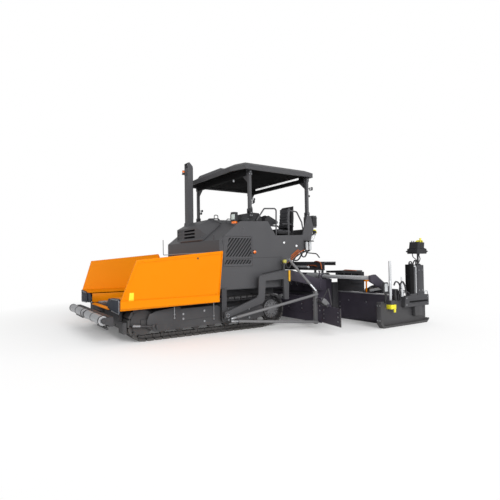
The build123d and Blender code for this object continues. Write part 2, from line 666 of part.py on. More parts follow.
# Platform, side cowls, seats and rails
with BuildPart() as operator_platform:
    block((-1480, -190), (-BODY_HALF + PANEL_T, BODY_HALF - PANEL_T), (DECK_Z - DECK_T, DECK_Z))
    block((-1550, -1520), (-BODY_HALF + PANEL_T, BODY_HALF - PANEL_T), (DECK_Z - DECK_T, 2250))
    block((-1520, -1480), (-BODY_HALF + PANEL_T, BODY_HALF - PANEL_T), (DECK_Z - DECK_T, DECK_Z))
    pair_block((-1180, -600), (560, 1215), (DECK_Z, 2060))
    # Brackets of the rear canopy posts
    for side in (1, -1):
        low, high = sorted((side * (POST_Y - 60), side * (POST_Y + 60)))
        block((-1580, -1470), (low, high), (DECK_Z, 2540))
        low, high = sorted((side * (POST_Y + 60), side * (BODY_HALF - PANEL_T)))
        block((-1580, -1470), (low, high), (2300, 2540))
        for at in (POST_Y - POST_W / 2 - 13, POST_Y + POST_W / 2 + 1):
            low, high = sorted((side * at, side * (at + 12)))
            block((REAR_POST_X - 45, REAR_POST_X + 45), (low, high), (2540, POST_PIVOT_Z + 35))
        low, high = sorted((side * (POST_Y - POST_W / 2 - 13), side * (POST_Y + POST_W / 2 + 13)))
        rod((REAR_POST_X, low, POST_PIVOT_Z), (REAR_POST_X, high, POST_PIVOT_Z), 14)
        # Control box behind the post
        block((-1840, -1710), sorted((side * 1040, side * 1160)), (2290, 2590))
        block((-1711, -1579), sorted((side * 1080, side * 1120)), (2420, 2460))
save(operator_platform.part, "operator_platform")

COWL = ((520, HOOD_TOP_Z + 12), (450, 2520), (200, 2565), (10, 2560), (-100, HOOD_TOP_Z + HOOD_RISE + 4))
with BuildPart() as side_cowls:
    rounded_plate(COWL, 30, (870, 1180))
    rounded_plate(COWL, 30, (-1180, -870))
    # Brackets of the front canopy posts
    for side in (1, -1):
        for at in (POST_Y - POST_W / 2 - 13, POST_Y + POST_W / 2 + 1):
            low, high = sorted((side * at, side * (at + 12)))
            block((FRONT_POST_X - 45, FRONT_POST_X + 45), (low, high), (2450, POST_PIVOT_Z + 35))
        low, high = sorted((side * (POST_Y - POST_W / 2 - 13), side * (POST_Y + POST_W / 2 + 13)))
        rod((FRONT_POST_X, low, POST_PIVOT_Z), (FRONT_POST_X, high, POST_PIVOT_Z), 14)
save(side_cowls.part, "side_cowls")


SEAT_Y = 850.0
with BuildPart() as seats:
    for side in (1, -1):
        y = side * SEAT_Y
        block((-1020, -760), (y - 150, y + 150), (2060, 2111))
        rounded_plate(((-1110, 2110), (-650, 2110), (-620, 2180), (-670, 2225), (-1110, 2195)), 14, (y - 235, y + 235))
        rounded_plate(((-1140, 2150), (-1020, 2150), (-1085, 2560), (-1100, 2820), (-1180, 2810), (-1180, 2500)), 14,
                      (y - 215, y + 215))
        for at in (-265, 225):
            block((-1060, -740), (y + at, y + at + 40), (2330, 2370))
            block((-1080, -1040), (y + at, y + at + 40), (2150, 2370))
save(seats.part, "seats")


def tube(points, radius, bend):
    """A bent tube along points in space, with one bend radius."""
    with BuildLine() as path:
        FilletPolyline(*points, radius=bend)
    with BuildSketch(Plane(origin=path.line @ 0, z_dir=path.line % 0)) as section:
        Circle(radius)
    sweep(sections=section.sketch, path=path.line)


RAIL_R = 17.0
RAIL_Y = BODY_HALF - PANEL_T - RAIL_R - SEAT
with BuildPart() as handrails:
    for side in (1, -1):
        y = side * RAIL_Y
        tube(((100, y, hood_z(100) + RAIL_R), (-128, y, 2669), (-486, y, 2689), (-470, y, DECK_Z + 4)), RAIL_R, 60)
        tube(((-860, y, 2065), (-875, y, 2672), (-1130, y, 2645), (-1290, y, 2400), (-1400, y, DECK_Z + 6)), RAIL_R, 60)
save(handrails.part, "handrails")

# Canopy: posts with eyes at both ends, and the hollow roof on two beams
def posts_at(x, lamps):
    """A pair of posts, with round lamps on brackets behind them."""
    for side in (1, -1):
        for behind, above, radius in lamps:
            z = POST_PIVOT_Z + above
            block((x - behind, x - 30), sorted((side * (POST_Y - 10), side * (POST_Y + 10))), (z - 8, z + 8))
            rod((x - behind - 20, side * POST_Y, z), (x - behind + 20, side * POST_Y, z), radius)
        low, high = sorted((side * (POST_Y - POST_W / 2), side * (POST_Y + POST_W / 2)))
        block((x - 32, x + 32), (low, high), (POST_PIVOT_Z, POST_TOP_Z))
        for z in (POST_PIVOT_Z, POST_TOP_Z):
            rod((x, low, z), (x, high, z), 32)
            rod((x, low, z), (x, high, z), 14 + SEAT, Mode.SUBTRACT)


with BuildPart() as canopy_posts_front:
    posts_at(FRONT_POST_X, ((115, 250, LAMP_R), (86, 180, MARKER_R)))
save(canopy_posts_front.part, "canopy_posts_front")

with BuildPart() as canopy_posts_rear:
    posts_at(REAR_POST_X, ((150, 635, LAMP_R), (75, 450, MARKER_R)))
save(canopy_posts_rear.part, "canopy_posts_rear")

ROOF_Z = 3510.0
ROOF_EDGE = 95.0
ROOF_PLAN = ((590, 900), (440, 1290), (-1600, 1290), (-1640, 1250), (-1640, -1250), (-1600, -1290), (440, -1290), (590, -900))
with BuildPart() as canopy_roof:
    with BuildSketch(Plane.XY.offset(ROOF_Z)) as plan:
        with BuildLine():
            Polyline(*ROOF_PLAN, close=True)
        make_face()
    extrude(amount=ROOF_EDGE)
    with BuildSketch(Plane.XY.offset(ROOF_Z + ROOF_EDGE)) as crown:
        with BuildLine():
            Polyline(*ROOF_PLAN, close=True)
        make_face()
    extrude(amount=85, taper=62)
    with BuildSketch(Plane.XY.offset(ROOF_Z)) as hollow:
        with BuildLine():
            Polyline(*ROOF_PLAN, close=True)
        make_face()
        offset(amount=-45, mode=Mode.REPLACE)
    extrude(amount=ROOF_EDGE - 25, mode=Mode.SUBTRACT)
    with BuildSketch(Plane.XY.offset(ROOF_Z + ROOF_EDGE - 30)) as crown_hollow:
        with BuildLine():
            Polyline(*ROOF_PLAN, close=True)
        make_face()
        offset(amount=-210, mode=Mode.REPLACE)
    extrude(amount=85, mode=Mode.SUBTRACT)
    # Low pod on the front of the roof
    with BuildSketch(Plane.XY.offset(ROOF_Z + ROOF_EDGE)) as pod:
        with Locations((405, -100)):
            Rectangle(330, 1100)
    extrude(amount=95, taper=30)
    for x in (FRONT_POST_X, REAR_POST_X):
        block((x - 50, x + 50), (-POST_Y + 60, POST_Y - 60), (POST_TOP_Z - 25, ROOF_Z + ROOF_EDGE))
        for side in (1, -1):
            # Gusset under the cross beam
            gusset = [(side * a, b) for a, b in ((POST_Y - 60, POST_TOP_Z - 24), (POST_Y - 60, 3250), (900, POST_TOP_Z - 24))]
            cross_plate(gusset, (x - 10, x + 10))
            for at in (POST_Y - POST_W / 2 - 13, POST_Y + POST_W / 2 + 1):
                low, high = sorted((side * at, side * (at + 12)))
                block((x - 40, x + 40), (low, high), (POST_TOP_Z - 40, ROOF_Z + ROOF_EDGE))
            low, high = sorted((side * (POST_Y - POST_W / 2 - 25), side * (POST_Y + POST_W / 2 + 13)))
            rod((x, low, POST_TOP_Z), (x, high, POST_TOP_Z), 14)
save(canopy_roof.part, "canopy_roof")

# Hopper wings: sloped floor, leaning outer wall cut to its rising top, end wall
WALL_LOW = (1380.0, 610.0)
WALL_LEAN = 0.161
WALL_HIGH = 1900.0


def wall_y(z):
    """Inner face of the leaning wall at a height."""
    return WALL_LOW[0] + (z - WALL_LOW[1]) * WALL_LEAN


with BuildPart() as hopper_wing_left:
    cross_plate(((WING_HINGE_Y + 5, 788), (wall_y(815) + 2, 815), (wall_y(840) + 2, 840), (WING_HINGE_Y + 5, 813)),
                (WING_REAR, WING_FRONT))
    cross_plate(
        (
            WALL_LOW,
            (WALL_LOW[0] + WING_T, WALL_LOW[1]),
            (WALL_LOW[0] + WING_T + 45, 660),
            (wall_y(790) + WING_T + 12, 790),
            (wall_y(790) + WING_T, 790),
            (wall_y(WALL_HIGH) + WING_T, WALL_HIGH),
            (wall_y(WALL_HIGH), WALL_HIGH),
        ),
        (WING_REAR, WING_FRONT),
    )
    # Rear end wall
    rear_top = (wall_y(WING_REAR_TOP) + 2, WING_REAR_TOP)
    cross_plate(((WING_HINGE_Y + 5, 800), (wall_y(820) + 2, 820), rear_top, (1340, 1480), (970, 1000)),
                (WING_REAR, WING_REAR + WING_T))
    # The top rises to the rear, and the front edge leans back
    side_plate(
        (
            (WING_REAR - 1, WING_REAR_TOP),
            WING_CORNER,
            (WING_FRONT + 1, WING_NOSE_Z),
            (WING_FRONT + 60, WING_NOSE_Z),
            (WING_FRONT + 60, 2000),
            (WING_REAR - 1, 2000),
        ),
        (800, 1800),
        Mode.SUBTRACT,
    )
    # The lower edge rises behind
    side_plate(((WING_REAR - 1, 600), (WING_FRONT + 1, 600), (WING_FRONT + 1, 612), (WING_REAR - 1, 652)), (1300, 1500), Mode.SUBTRACT)
    for x in (WING_REAR + 60, 1900, 2700):
        rod((x, WING_HINGE_Y, WING_HINGE_Z), (x + 140, WING_HINGE_Y, WING_HINGE_Z), 20)
    # Ears of the lift cylinder
    for x in (3188, 3230):
        cross_plate(((1290, 750), (1370, 750), (1370, 812), (1290, 812)), (x, x + 12))
save(hopper_wing_left.part, "hopper_wing_left")

with BuildPart() as hopper_wing_right:
    mirror(hopper_wing_left.part, about=Plane.XZ)
save(hopper_wing_right.part, "hopper_wing_right")

APRON = ((890, 600), (930, 565), (1360, 545), (1395, 580), (1395, 800), (1370, 835), (960, 815), (890, 780))
with BuildPart() as rubber_apron_left:
    cross_plate(APRON, (WING_FRONT, WING_FRONT + 14))
save(rubber_apron_left.part, "rubber_apron_left")

with BuildPart() as rubber_apron_right:
    mirror(rubber_apron_left.part, about=Plane.XZ)
save(rubber_apron_right.part, "rubber_apron_right")

# Wing lift cylinders
run_y = WING_CYL_EYE[0] - WING_CYL_BASE[0]
run_z = WING_CYL_EYE[1] - WING_CYL_BASE[1]
run = hypot(run_y, run_z)


def along(share):
    """A point on the cylinder's axis, in millimetres from its base."""
    return (WING_CYL_X, WING_CYL_BASE[0] + run_y / run * share, WING_CYL_BASE[1] + run_z / run * share)


with BuildPart() as wing_barrel_left:
    rod(along(0), along(250), 30)
    rod(along(40), along(251), 15 + SEAT, Mode.SUBTRACT)
    rod((WING_CYL_X - 30, *WING_CYL_BASE), (WING_CYL_X + 30, *WING_CYL_BASE), 28)
    rod((WING_CYL_X - 30, *WING_CYL_BASE), (WING_CYL_X + 30, *WING_CYL_BASE), 12 + SEAT, Mode.SUBTRACT)
save(wing_barrel_left.part, "wing_barrel_left")

with BuildPart() as wing_rod_left:
    rod(along(60), along(run - 18), 15)
    rod((WING_CYL_X - 13, *WING_CYL_EYE), (WING_CYL_X + 13, *WING_CYL_EYE), 22)
    rod((WING_CYL_X - 13, *WING_CYL_EYE), (WING_CYL_X + 13, *WING_CYL_EYE), 13, Mode.SUBTRACT)
save(wing_rod_left.part, "wing_rod_left")

with BuildPart() as wing_barrel_right:
    mirror(wing_barrel_left.part, about=Plane.XZ)
save(wing_barrel_right.part, "wing_barrel_right")

with BuildPart() as wing_rod_right:
    mirror(wing_rod_left.part, about=Plane.XZ)
save(wing_rod_right.part, "wing_rod_right")

# Push beam and rollers
with BuildPart() as push_beam:
    rod((BEAM_PIVOT_X, 0, 360), (BEAM_PIVOT_X, 0, 480), 50)
    block((BEAM_PIVOT_X, 3440), (-50, 50), (360, 480))
    rod((BEAM_PIVOT_X, 0, 350), (BEAM_PIVOT_X, 0, 490), 28 + SEAT, Mode.SUBTRACT)
    block((3420, 3500), (-1180, 1180), (330, 500))
    for y in (-PUSH_OUT - 34, -PUSH_IN + 4, PUSH_IN - 34, PUSH_OUT + 4):
        side_plate(((3420, 330), (3600, 385), (3645, 420), (3645, 462), (3600, 492), (3420, 500)), (y, y + 30))
    block((3420, 3500), (-PUSH_OUT - 34, -1180), (330, 500))
    block((3420, 3500), (1180, PUSH_OUT + 34), (330, 500))
    rod((ROLLER_AXIS_X, -PUSH_OUT - 34, ROLLER_AXIS_Z), (ROLLER_AXIS_X, PUSH_OUT + 34, ROLLER_AXIS_Z), 22)
save(push_beam.part, "push_beam")

with BuildPart() as push_roller_left:
    rod((ROLLER_AXIS_X, PUSH_IN, ROLLER_AXIS_Z), (ROLLER_AXIS_X, PUSH_OUT, ROLLER_AXIS_Z), PUSH_R)
    rod((ROLLER_AXIS_X, PUSH_IN, ROLLER_AXIS_Z), (ROLLER_AXIS_X, PUSH_OUT, ROLLER_AXIS_Z), 22 + SEAT, Mode.SUBTRACT)
save(push_roller_left.part, "push_roller_left")

with BuildPart() as push_roller_right:
    mirror(push_roller_left.part, about=Plane.XZ)
save(push_roller_right.part, "push_roller_right")

# Augers: flights of flat sector plates, each turned on round the shaft and tilted to the pitch
FLIGHT_STEPS = 12
FLIGHT_T = 14.0
FLIGHT_TILT = atan2(AUGER_PITCH, 2 * pi * 0.7 * AUGER_R)
FLIGHT_HALF = radians(0.53 * 360 / FLIGHT_STEPS)
with BuildPart() as auger_left:
    rod((AUGER_X, AUGER_IN, AUGER_Z), (AUGER_X, AUGER_OUT, AUGER_Z), AUGER_SHAFT_R)
    step = AUGER_PITCH / FLIGHT_STEPS
    blades = []
    for number in range(int((AUGER_OUT - AUGER_IN - 100) / step)):
        place = AUGER_IN + 55 + number * step
        turn = 2 * pi * number / FLIGHT_STEPS
        outward = Vector(cos(turn), 0, sin(turn))
        onward = Vector(-sin(turn) * cos(FLIGHT_TILT), sin(FLIGHT_TILT), cos(turn) * cos(FLIGHT_TILT))
        plane = Plane(origin=(AUGER_X, place, AUGER_Z), x_dir=outward, z_dir=outward.cross(onward))
        low = 0.7 * AUGER_SHAFT_R
        spread = AUGER_R * sin(FLIGHT_HALF)
        reach = AUGER_R * cos(FLIGHT_HALF)
        with BuildSketch(plane.offset(-FLIGHT_T / 2)) as blade:
            with BuildLine():
                Polyline((low, -10), (reach, -spread), (AUGER_R, 0), (reach, spread), (low, 10), close=True)
            make_face()
        blades.append(extrude(blade.sketch, amount=FLIGHT_T, mode=Mode.PRIVATE))
    add(blades)
save(auger_left.part, "auger_left")

with BuildPart() as auger_right:
    mirror(auger_left.part, about=Plane.XZ)
save(auger_right.part, "auger_right")

# Auger tunnel plates with their braces
BAR_Y = 1950.0
BAR_TOP = 800.0
BRACE_END_Y = BAR_Y + 30 + BRACE_R + 12
with BuildPart() as tunnel_plates:
    # Gearbox column between the augers
    block((AUGER_X - 100, FRAME_REAR - 40), (-75, 75), (TUNNEL_ROOF_Z + 20, 1080))
    block((AUGER_X - 70, AUGER_X + 70), (-75, 75), (AUGER_Z - 110, TUNNEL_ROOF_Z + 20))
    for side in (1, -1):
        low, high = sorted((side * 76, side * SIDE_OUT))
        block((TUNNEL_X - TUNNEL_T, TUNNEL_X), (low, high), (TUNNEL_LOW, FLOOR_Z + FLOOR_T))
        low, high = sorted((side * SIDE_OUT, side * TUNNEL_OUT))
        block((TUNNEL_X - TUNNEL_T, TUNNEL_X), (low, high), (TUNNEL_LOW, TUNNEL_TOP))
        # Angled outer plate
        flat_plate(((TUNNEL_X, side * TUNNEL_OUT), (TUNNEL_X - TUNNEL_T, side * TUNNEL_OUT),
                    (TUNNEL_X + 200 - TUNNEL_T, side * WING_PLATE_OUT), (TUNNEL_X + 200, side * WING_PLATE_OUT)), (130, 500))
        # Outboard bearing of the auger
        low, high = sorted((side * (AUGER_OUT - 20), side * (AUGER_OUT + 20)))
        block((AUGER_X + 47, TUNNEL_X - TUNNEL_T), (low, high), (AUGER_Z - 50, AUGER_Z + 50))
        rod((AUGER_X, side * (AUGER_OUT + SEAT), AUGER_Z), (AUGER_X, side * (AUGER_OUT + 30), AUGER_Z), 70)
        low, high = sorted((side * (AUGER_OUT + 1), side * (AUGER_OUT + 30)))
        block((AUGER_X, TUNNEL_X), (low, high), (AUGER_Z - 50, AUGER_Z + 50))
        # Upright bar and the three braces
        block((TUNNEL_X, TUNNEL_X + 60), sorted((side * (BAR_Y - 30), side * (BAR_Y + 30))), (85, BAR_TOP))
save(tunnel_plates.part, "tunnel_plates")

# Braces of the tunnel plates, and the brackets on the body for them and for the lift cylinders.
# Braces run past the upright bar, the fork and the bracket, against their sides
LIFT_CYL_Y = 1320.0
LIFT_EYE_HALF = 20.0
LIFT_TOP = (-590.0, 1440.0)
LIFT_EYE = (-560.0, 640.0)
with BuildPart() as tunnel_braces:
    for side in (1, -1):
        end = side * BRACE_END_Y
        fork = side * (BRACE_Y + 2)
        rod((TUNNEL_X + 30, side * BAR_Y, BAR_TOP + 12.6), (-600, side * (BRACE_Y - 2.4), BRACKET_Z + 22), BRACE_R)
        rod((TUNNEL_X + 20, end, 735), (1020, fork, 292), BRACE_R)
        rod((TUNNEL_X + 20, end, 130), (1020, fork, 246), BRACE_R)
        block((-650, -550), sorted((side * BODY_HALF, side * (BRACE_Y - BRACE_R - SEAT))), (BRACKET_Z, BRACKET_Z + 45))
        for at in (LIFT_CYL_Y - 47, LIFT_CYL_Y + 36):
            low, high = sorted((side * at, side * (at + 11)))
            block((LIFT_TOP[0] - 35, LIFT_TOP[0] + 35), (low, high), (LIFT_TOP[1] - 35, BRACKET_Z))
        rod((LIFT_TOP[0], side * (LIFT_CYL_Y - 47), LIFT_TOP[1]), (LIFT_TOP[0], side * (LIFT_CYL_Y + 47), LIFT_TOP[1]), 12)
save(tunnel_braces.part, "tunnel_braces")

with BuildPart() as tow_points:
    for side in (1, -1):
        block((1036, 1110), sorted((side * (GUIDE_Y + 30 + SEAT), side * (ARM_IN - 10))), (300, 420))
        rod((TOW_X, side * (ARM_IN - 12), TOW_Z), (TOW_X, side * (ARM_IN + ARM_T + 12), TOW_Z), TOW_PIN_R)
        rod((TOW_X, side * (ARM_IN + ARM_T + 2), TOW_Z), (TOW_X, side * (ARM_IN + ARM_T + 14), TOW_Z), 50)
save(tow_points.part, "tow_points")

# Tow arms from the tow points over the tracks to the screed
ARM = (
    (TOW_X + 60, 300),
    (TOW_X + 60, 420),
    (300, 680),
    (235, 740),
    (215, 1150),
    (-500, ARM_TOP),
    (-720, ARM_TOP),
    (-1500, 1060),
    (-1840, 1000),
    (-1840, 760),
    (-1560, 760),
    (-1380, 880),
    (-640, 1040),
    (-625, 600),
    (-500, 600),
    (-480, 1060),
    (40, 1040),
    (80, 640),
    (130, 560),
)
with BuildPart() as tow_arms:
    for side in (1, -1):
        side_plate(ARM, sorted((side * ARM_IN, side * (ARM_IN + ARM_T))))
        rod((TOW_X, side * (ARM_IN - 1), TOW_Z), (TOW_X, side * (ARM_IN + ARM_T + 1), TOW_Z), TOW_PIN_R + SEAT, Mode.SUBTRACT)
        block((-1840, -1600), sorted((side * SCREED_HALF, side * ARM_IN)), (765, 960))
        # Pin for the lift cylinder's eye
        rod((LIFT_EYE[0], side * (LIFT_CYL_Y + LIFT_EYE_HALF + 6), LIFT_EYE[1]), (LIFT_EYE[0], side * ARM_IN, LIFT_EYE[1]), 12)
save(tow_arms.part, "tow_arms")

lift_x = LIFT_EYE[0] - LIFT_TOP[0]
lift_z = LIFT_EYE[1] - LIFT_TOP[1]
lift_run = hypot(lift_x, lift_z)


def down(share, side):
    """A point on the lift cylinder's axis, in millimetres below its top pin."""
    return (LIFT_TOP[0] + lift_x / lift_run * share, side * LIFT_CYL_Y, LIFT_TOP[1] + lift_z / lift_run * share)


with BuildPart() as lift_barrels:
    for side in (1, -1):
        rod(down(0, side), down(430, side), 32)
        rod(down(60, side), down(431, side), 18 + SEAT, Mode.SUBTRACT)
        low, high = sorted((side * (LIFT_CYL_Y - 33), side * (LIFT_CYL_Y + 33)))
        rod((LIFT_TOP[0], low, LIFT_TOP[1]), (LIFT_TOP[0], high, LIFT_TOP[1]), 30)
        rod((LIFT_TOP[0], low - 9, LIFT_TOP[1]), (LIFT_TOP[0], high + 9, LIFT_TOP[1]), 12 + SEAT, Mode.SUBTRACT)
save(lift_barrels.part, "lift_barrels")

with BuildPart() as lift_rods:
    for side in (1, -1):
        rod(down(330, side), down(lift_run - 20, side), 18)
        low, high = sorted((side * (LIFT_CYL_Y - LIFT_EYE_HALF), side * (LIFT_CYL_Y + LIFT_EYE_HALF)))
        rod((LIFT_EYE[0], low, LIFT_EYE[1]), (LIFT_EYE[0], high, LIFT_EYE[1]), 32)
        rod((LIFT_EYE[0], low - 1, LIFT_EYE[1]), (LIFT_EYE[0], high + 1, LIFT_EYE[1]), 20, Mode.SUBTRACT)
save(lift_rods.part, "lift_rods")

# Main screed: heated sole, deflector, housing and the sleeves of the extensions
with BuildPart() as main_screed:
    side_plate(
        (
            (SCREED_FRONT, 60),
            (SCREED_FRONT + 0, 640),
            (SCREED_FRONT - 30, 640),
            (SCREED_FRONT - 50, 330),
            (SCREED_REAR + 60, 330),
            (SCREED_REAR, 300),
            (SCREED_REAR, 0),
            (SCREED_FRONT - 60, 0),
        ),
        (-SCREED_HALF, SCREED_HALF),
    )
    for y in (-SCREED_HALF, -450, 410, SCREED_HALF - 40):
        side_plate(((-1600, 330), (-2240, 330), (-2240, 700), (-1600, 700)), (y, y + 40))
    block((-2250, -1560), (-SCREED_HALF, SCREED_HALF), (700, 1000))
    block((-2220, -1590), (-SCREED_HALF + 30, SCREED_HALF - 30), (699, 960), Mode.SUBTRACT)
    for low, high in ((-SCREED_HALF + 40, -450), (-410, 410), (450, SCREED_HALF - 40)):
        block((-2230, -1560), (low, high), (60, 331), Mode.SUBTRACT)
    for x in (LEFT_ROD_X, RIGHT_ROD_X):
        rod((x, -SCREED_HALF, GUIDE_Z), (x, SCREED_HALF, GUIDE_Z), SLEEVE_R)
        block((x - 60, x + 60), (-SCREED_HALF, SCREED_HALF), (1000, GUIDE_Z))
    for x in (LEFT_ROD_X, RIGHT_ROD_X):
        rod((x, -SCREED_HALF - 1, GUIDE_Z), (x, SCREED_HALF + 1, GUIDE_Z), GUIDE_R + SEAT, Mode.SUBTRACT)
    # Rail behind, on which the extensions slide
    block((EXT_FRONT + SEAT, SCREED_REAR), (-SCREED_HALF, SCREED_HALF), (180, 240))
save(main_screed.part, "main_screed")


def extension(rod_x):
    """The left extension on its guide rod."""
    side_plate(
        (
            (EXT_FRONT, 50),
            (EXT_FRONT, 690),
            (EXT_FRONT - 34, 690),
            (EXT_FRONT - 40, 300),
            (EXT_REAR, 280),
            (EXT_REAR, 0),
            (EXT_FRONT - 50, 0),
        ),
        (SCREED_HALF, EXT_OUT),
    )
    for y in (SCREED_HALF, 1980, EXT_OUT - 40):
        side_plate(((EXT_FRONT - 30, 270), (EXT_REAR + 60, 270), (EXT_REAR + 60, 705), (EXT_FRONT - 30, 705)), (y, y + 40))
    for low, high in ((SCREED_HALF + 40, 1980), (2020, EXT_OUT - 40)):
        block((EXT_REAR + 30, EXT_FRONT - 60), (low, high), (60, 301), Mode.SUBTRACT)
    block((EXT_REAR + 20, EXT_FRONT - 20), (SCREED_HALF, EXT_OUT), (700, 725))
    side_plate(((rod_x + 75, 1000), (rod_x + 75, 1130), (rod_x - 100, 1150), (EXT_FRONT - 300, 715), (EXT_FRONT - 60, 715)),
               (2600, 2650))
    rod((rod_x, 1020, GUIDE_Z), (rod_x, 2650, GUIDE_Z), GUIDE_R)
    # Rails on which the end gate rises
    for x in (EXT_FRONT - 80, EXT_REAR + 80):
        block((x - 25, x + 25), (EXT_OUT, GATE_IN - SEAT), (300, 540))


with BuildPart() as screed_extension_left:
    extension(LEFT_ROD_X)
save(screed_extension_left.part, "screed_extension_left")

with BuildPart() as right_draft:
    extension(RIGHT_ROD_X)
with BuildPart() as screed_extension_right:
    mirror(right_draft.part, about=Plane.XZ)
save(screed_extension_right.part, "screed_extension_right")

# End gates with their skids, spring boxes and sensor mast
GATE_OUT = GATE_IN + GATE_T
GATE_SHEET = (
    (GATE_FRONT, 90),
    (GATE_FRONT, GATE_TOP),
    (GATE_REAR + 260, GATE_TOP),
    (GATE_REAR + 260, 400),
    (GATE_REAR, 380),
    (GATE_REAR, 70),
    (GATE_REAR + 60, 25),
    (GATE_FRONT - 70, 25),
)
SKID = (
    (GATE_FRONT, 150),
    (GATE_FRONT, 90),
    (GATE_FRONT - 90, 0),
    (GATE_REAR + 90, 0),
    (GATE_REAR, 70),
    (GATE_REAR, 110),
    (GATE_REAR + 100, 45),
    (GATE_FRONT - 110, 45),
    (GATE_FRONT - 30, 150),
)
MAST_X = -2300.0
MAST_Y = GATE_IN + 60
CONSOLE_FOOT_Z = 1340.0
with BuildPart() as end_gate_left:
    side_plate(GATE_SHEET, (GATE_IN, GATE_IN + 20))
    rounded_plate(SKID, 12, (GATE_IN, GATE_OUT))
    block((GATE_FRONT - 20, GATE_FRONT), (GATE_IN, GATE_OUT), (100, GATE_TOP))
    rounded_plate(((GATE_REAR, 400), (-2740, 400), (-2780, GATE_TOP + 90), (GATE_REAR, GATE_TOP + 90)), 25,
                  (GATE_IN + 20, GATE_OUT))
    # Tall spring boxes with rounded tops
    for rear, front, top in ((-3200, -2960, 1350), (-3500, -3230, CONSOLE_FOOT_Z)):
        box = ((rear, GATE_TOP + 60), (front, GATE_TOP + 60), (front, top), (rear, top))
        rounded_plate(box, 28, (GATE_IN, GATE_OUT))
    # Sensor mast in its clamp
    rod((MAST_X, MAST_Y, 500), (MAST_X, MAST_Y, 1440), 25)
    block((MAST_X - 70, MAST_X + 70), (GATE_IN + 20, GATE_OUT + 10), (440, 580))
save(end_gate_left.part, "end_gate_left")

with BuildPart() as end_gate_right:
    mirror(end_gate_left.part, about=Plane.XZ)
save(end_gate_right.part, "end_gate_right")

with BuildPart() as control_console_left:
    rounded_plate(((-3640, 1600), (-3260, 1600), (-3260, 1720), (-3640, 1720)), 20, (2620, 2860))
    rounded_plate(((-3570, 1710), (-3300, 1710), (-3330, 1880), (-3590, 1865)), 15, (2640, 2840))
    block((-3430, -3330), (GATE_IN + 5, GATE_IN + 95), (CONSOLE_FOOT_Z, CONSOLE_FOOT_Z + 12))
    rod((-3380, GATE_IN + 50, 1350), (-3400, GATE_IN + 40, 1610), 20)
save(control_console_left.part, "control_console_left")

with BuildPart() as control_console_right:
    mirror(control_console_left.part, about=Plane.XZ)
save(control_console_right.part, "control_console_right")
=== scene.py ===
# %% [markdown]
# A tracked asphalt paver in a pale studio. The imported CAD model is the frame: each Blender
# piece is made in metres, in that same frame, and rides on one of its bodies. +X is forward,
# towards the hopper, +Y is the machine's left and +Z is up.

# %% Load the frame
from math import atan2, cos, hypot, pi, radians, sin

import bmesh
import bpy
from mathutils import Matrix, Vector


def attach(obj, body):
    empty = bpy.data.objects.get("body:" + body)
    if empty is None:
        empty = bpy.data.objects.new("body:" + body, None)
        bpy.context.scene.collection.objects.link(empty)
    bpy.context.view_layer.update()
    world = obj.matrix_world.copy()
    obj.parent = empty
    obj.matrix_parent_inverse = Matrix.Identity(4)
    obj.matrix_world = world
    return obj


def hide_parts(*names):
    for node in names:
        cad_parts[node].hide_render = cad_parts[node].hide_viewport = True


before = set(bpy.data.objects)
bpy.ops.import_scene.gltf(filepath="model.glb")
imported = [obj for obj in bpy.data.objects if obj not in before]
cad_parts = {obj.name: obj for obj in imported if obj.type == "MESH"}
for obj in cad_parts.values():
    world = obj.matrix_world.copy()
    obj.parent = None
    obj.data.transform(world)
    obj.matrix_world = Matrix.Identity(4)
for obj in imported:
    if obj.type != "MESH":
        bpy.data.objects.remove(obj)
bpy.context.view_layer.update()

# %% [markdown]
# The camera stands low, ahead and to the left of the machine, about 10 m off, so the hopper
# looks large and the screed small. Its place and lens come from fitting the track, the posts
# and the hopper of a full-size paver to the photograph. The shift puts the lens axis left of
# the middle, as in a picture that was cropped.

# %% Camera
FOCAL_PX = 387.67
AXIS_PX = (198.35, 251.98)
FRAME_PX = 500.0
EYE = Vector((5.59, 8.08, 1.50))
YAW = radians(59.98)
PITCH = radians(-1.27)
ROLL = radians(-0.66)

look = Vector((-cos(YAW) * cos(PITCH), -sin(YAW) * cos(PITCH), -sin(PITCH)))
level = look.cross(Vector((0, 0, 1))).normalized()
upright = level.cross(look)
right = cos(ROLL) * level + sin(ROLL) * upright
up = -sin(ROLL) * level + cos(ROLL) * upright
camera = bpy.data.objects.new("studio_camera", bpy.data.cameras.new("studio_camera"))
bpy.context.scene.collection.objects.link(camera)
turn = Matrix((right, up, -look)).transposed().to_4x4()
camera.matrix_world = Matrix.Translation(EYE) @ turn
camera.data.sensor_width = 36.0
camera.data.lens = 36.0 * FOCAL_PX / FRAME_PX
camera.data.shift_x = (FRAME_PX / 2 - AXIS_PX[0]) / FRAME_PX
camera.data.shift_y = (AXIS_PX[1] - FRAME_PX / 2) / FRAME_PX
camera.data.clip_end = 200.0
bpy.context.scene.camera = camera
print("lens", round(camera.data.lens, 2), "mm")

# %% [markdown]
# Every material here is a small tree of shader nodes. Colours are written as sRGB hex values,
# as a paint chart gives them, and turned to the linear values that a renderer adds up. One
# helper adds a node with its settings and its links.


# %% Colour and node helpers
def linear(code):
    """A hex colour as linear red, green, blue and alpha."""
    values = []
    for start in (0, 2, 4):
        part = int(code[start:start + 2], 16) / 255
        values.append(part / 12.92 if part <= 0.04045 else ((part + 0.055) / 1.055) ** 2.4)
    return (*values, 1.0)


def add_node(tree, kind, settings=None, links=None):
    """Adds a node. A setting is a socket's value or the node's own property."""
    node = tree.nodes.new(kind)
    for name, value in (settings or {}).items():
        if isinstance(name, int) or name in node.inputs:
            node.inputs[name].default_value = value
        else:
            setattr(node, name, value)
    for name, source in (links or {}).items():
        tree.links.new(source, node.inputs[name])
    return node


def new_object(name, data):
    """An object in the scene."""
    thing = bpy.data.objects.new(name, data)
    bpy.context.scene.collection.objects.link(thing)
    return thing


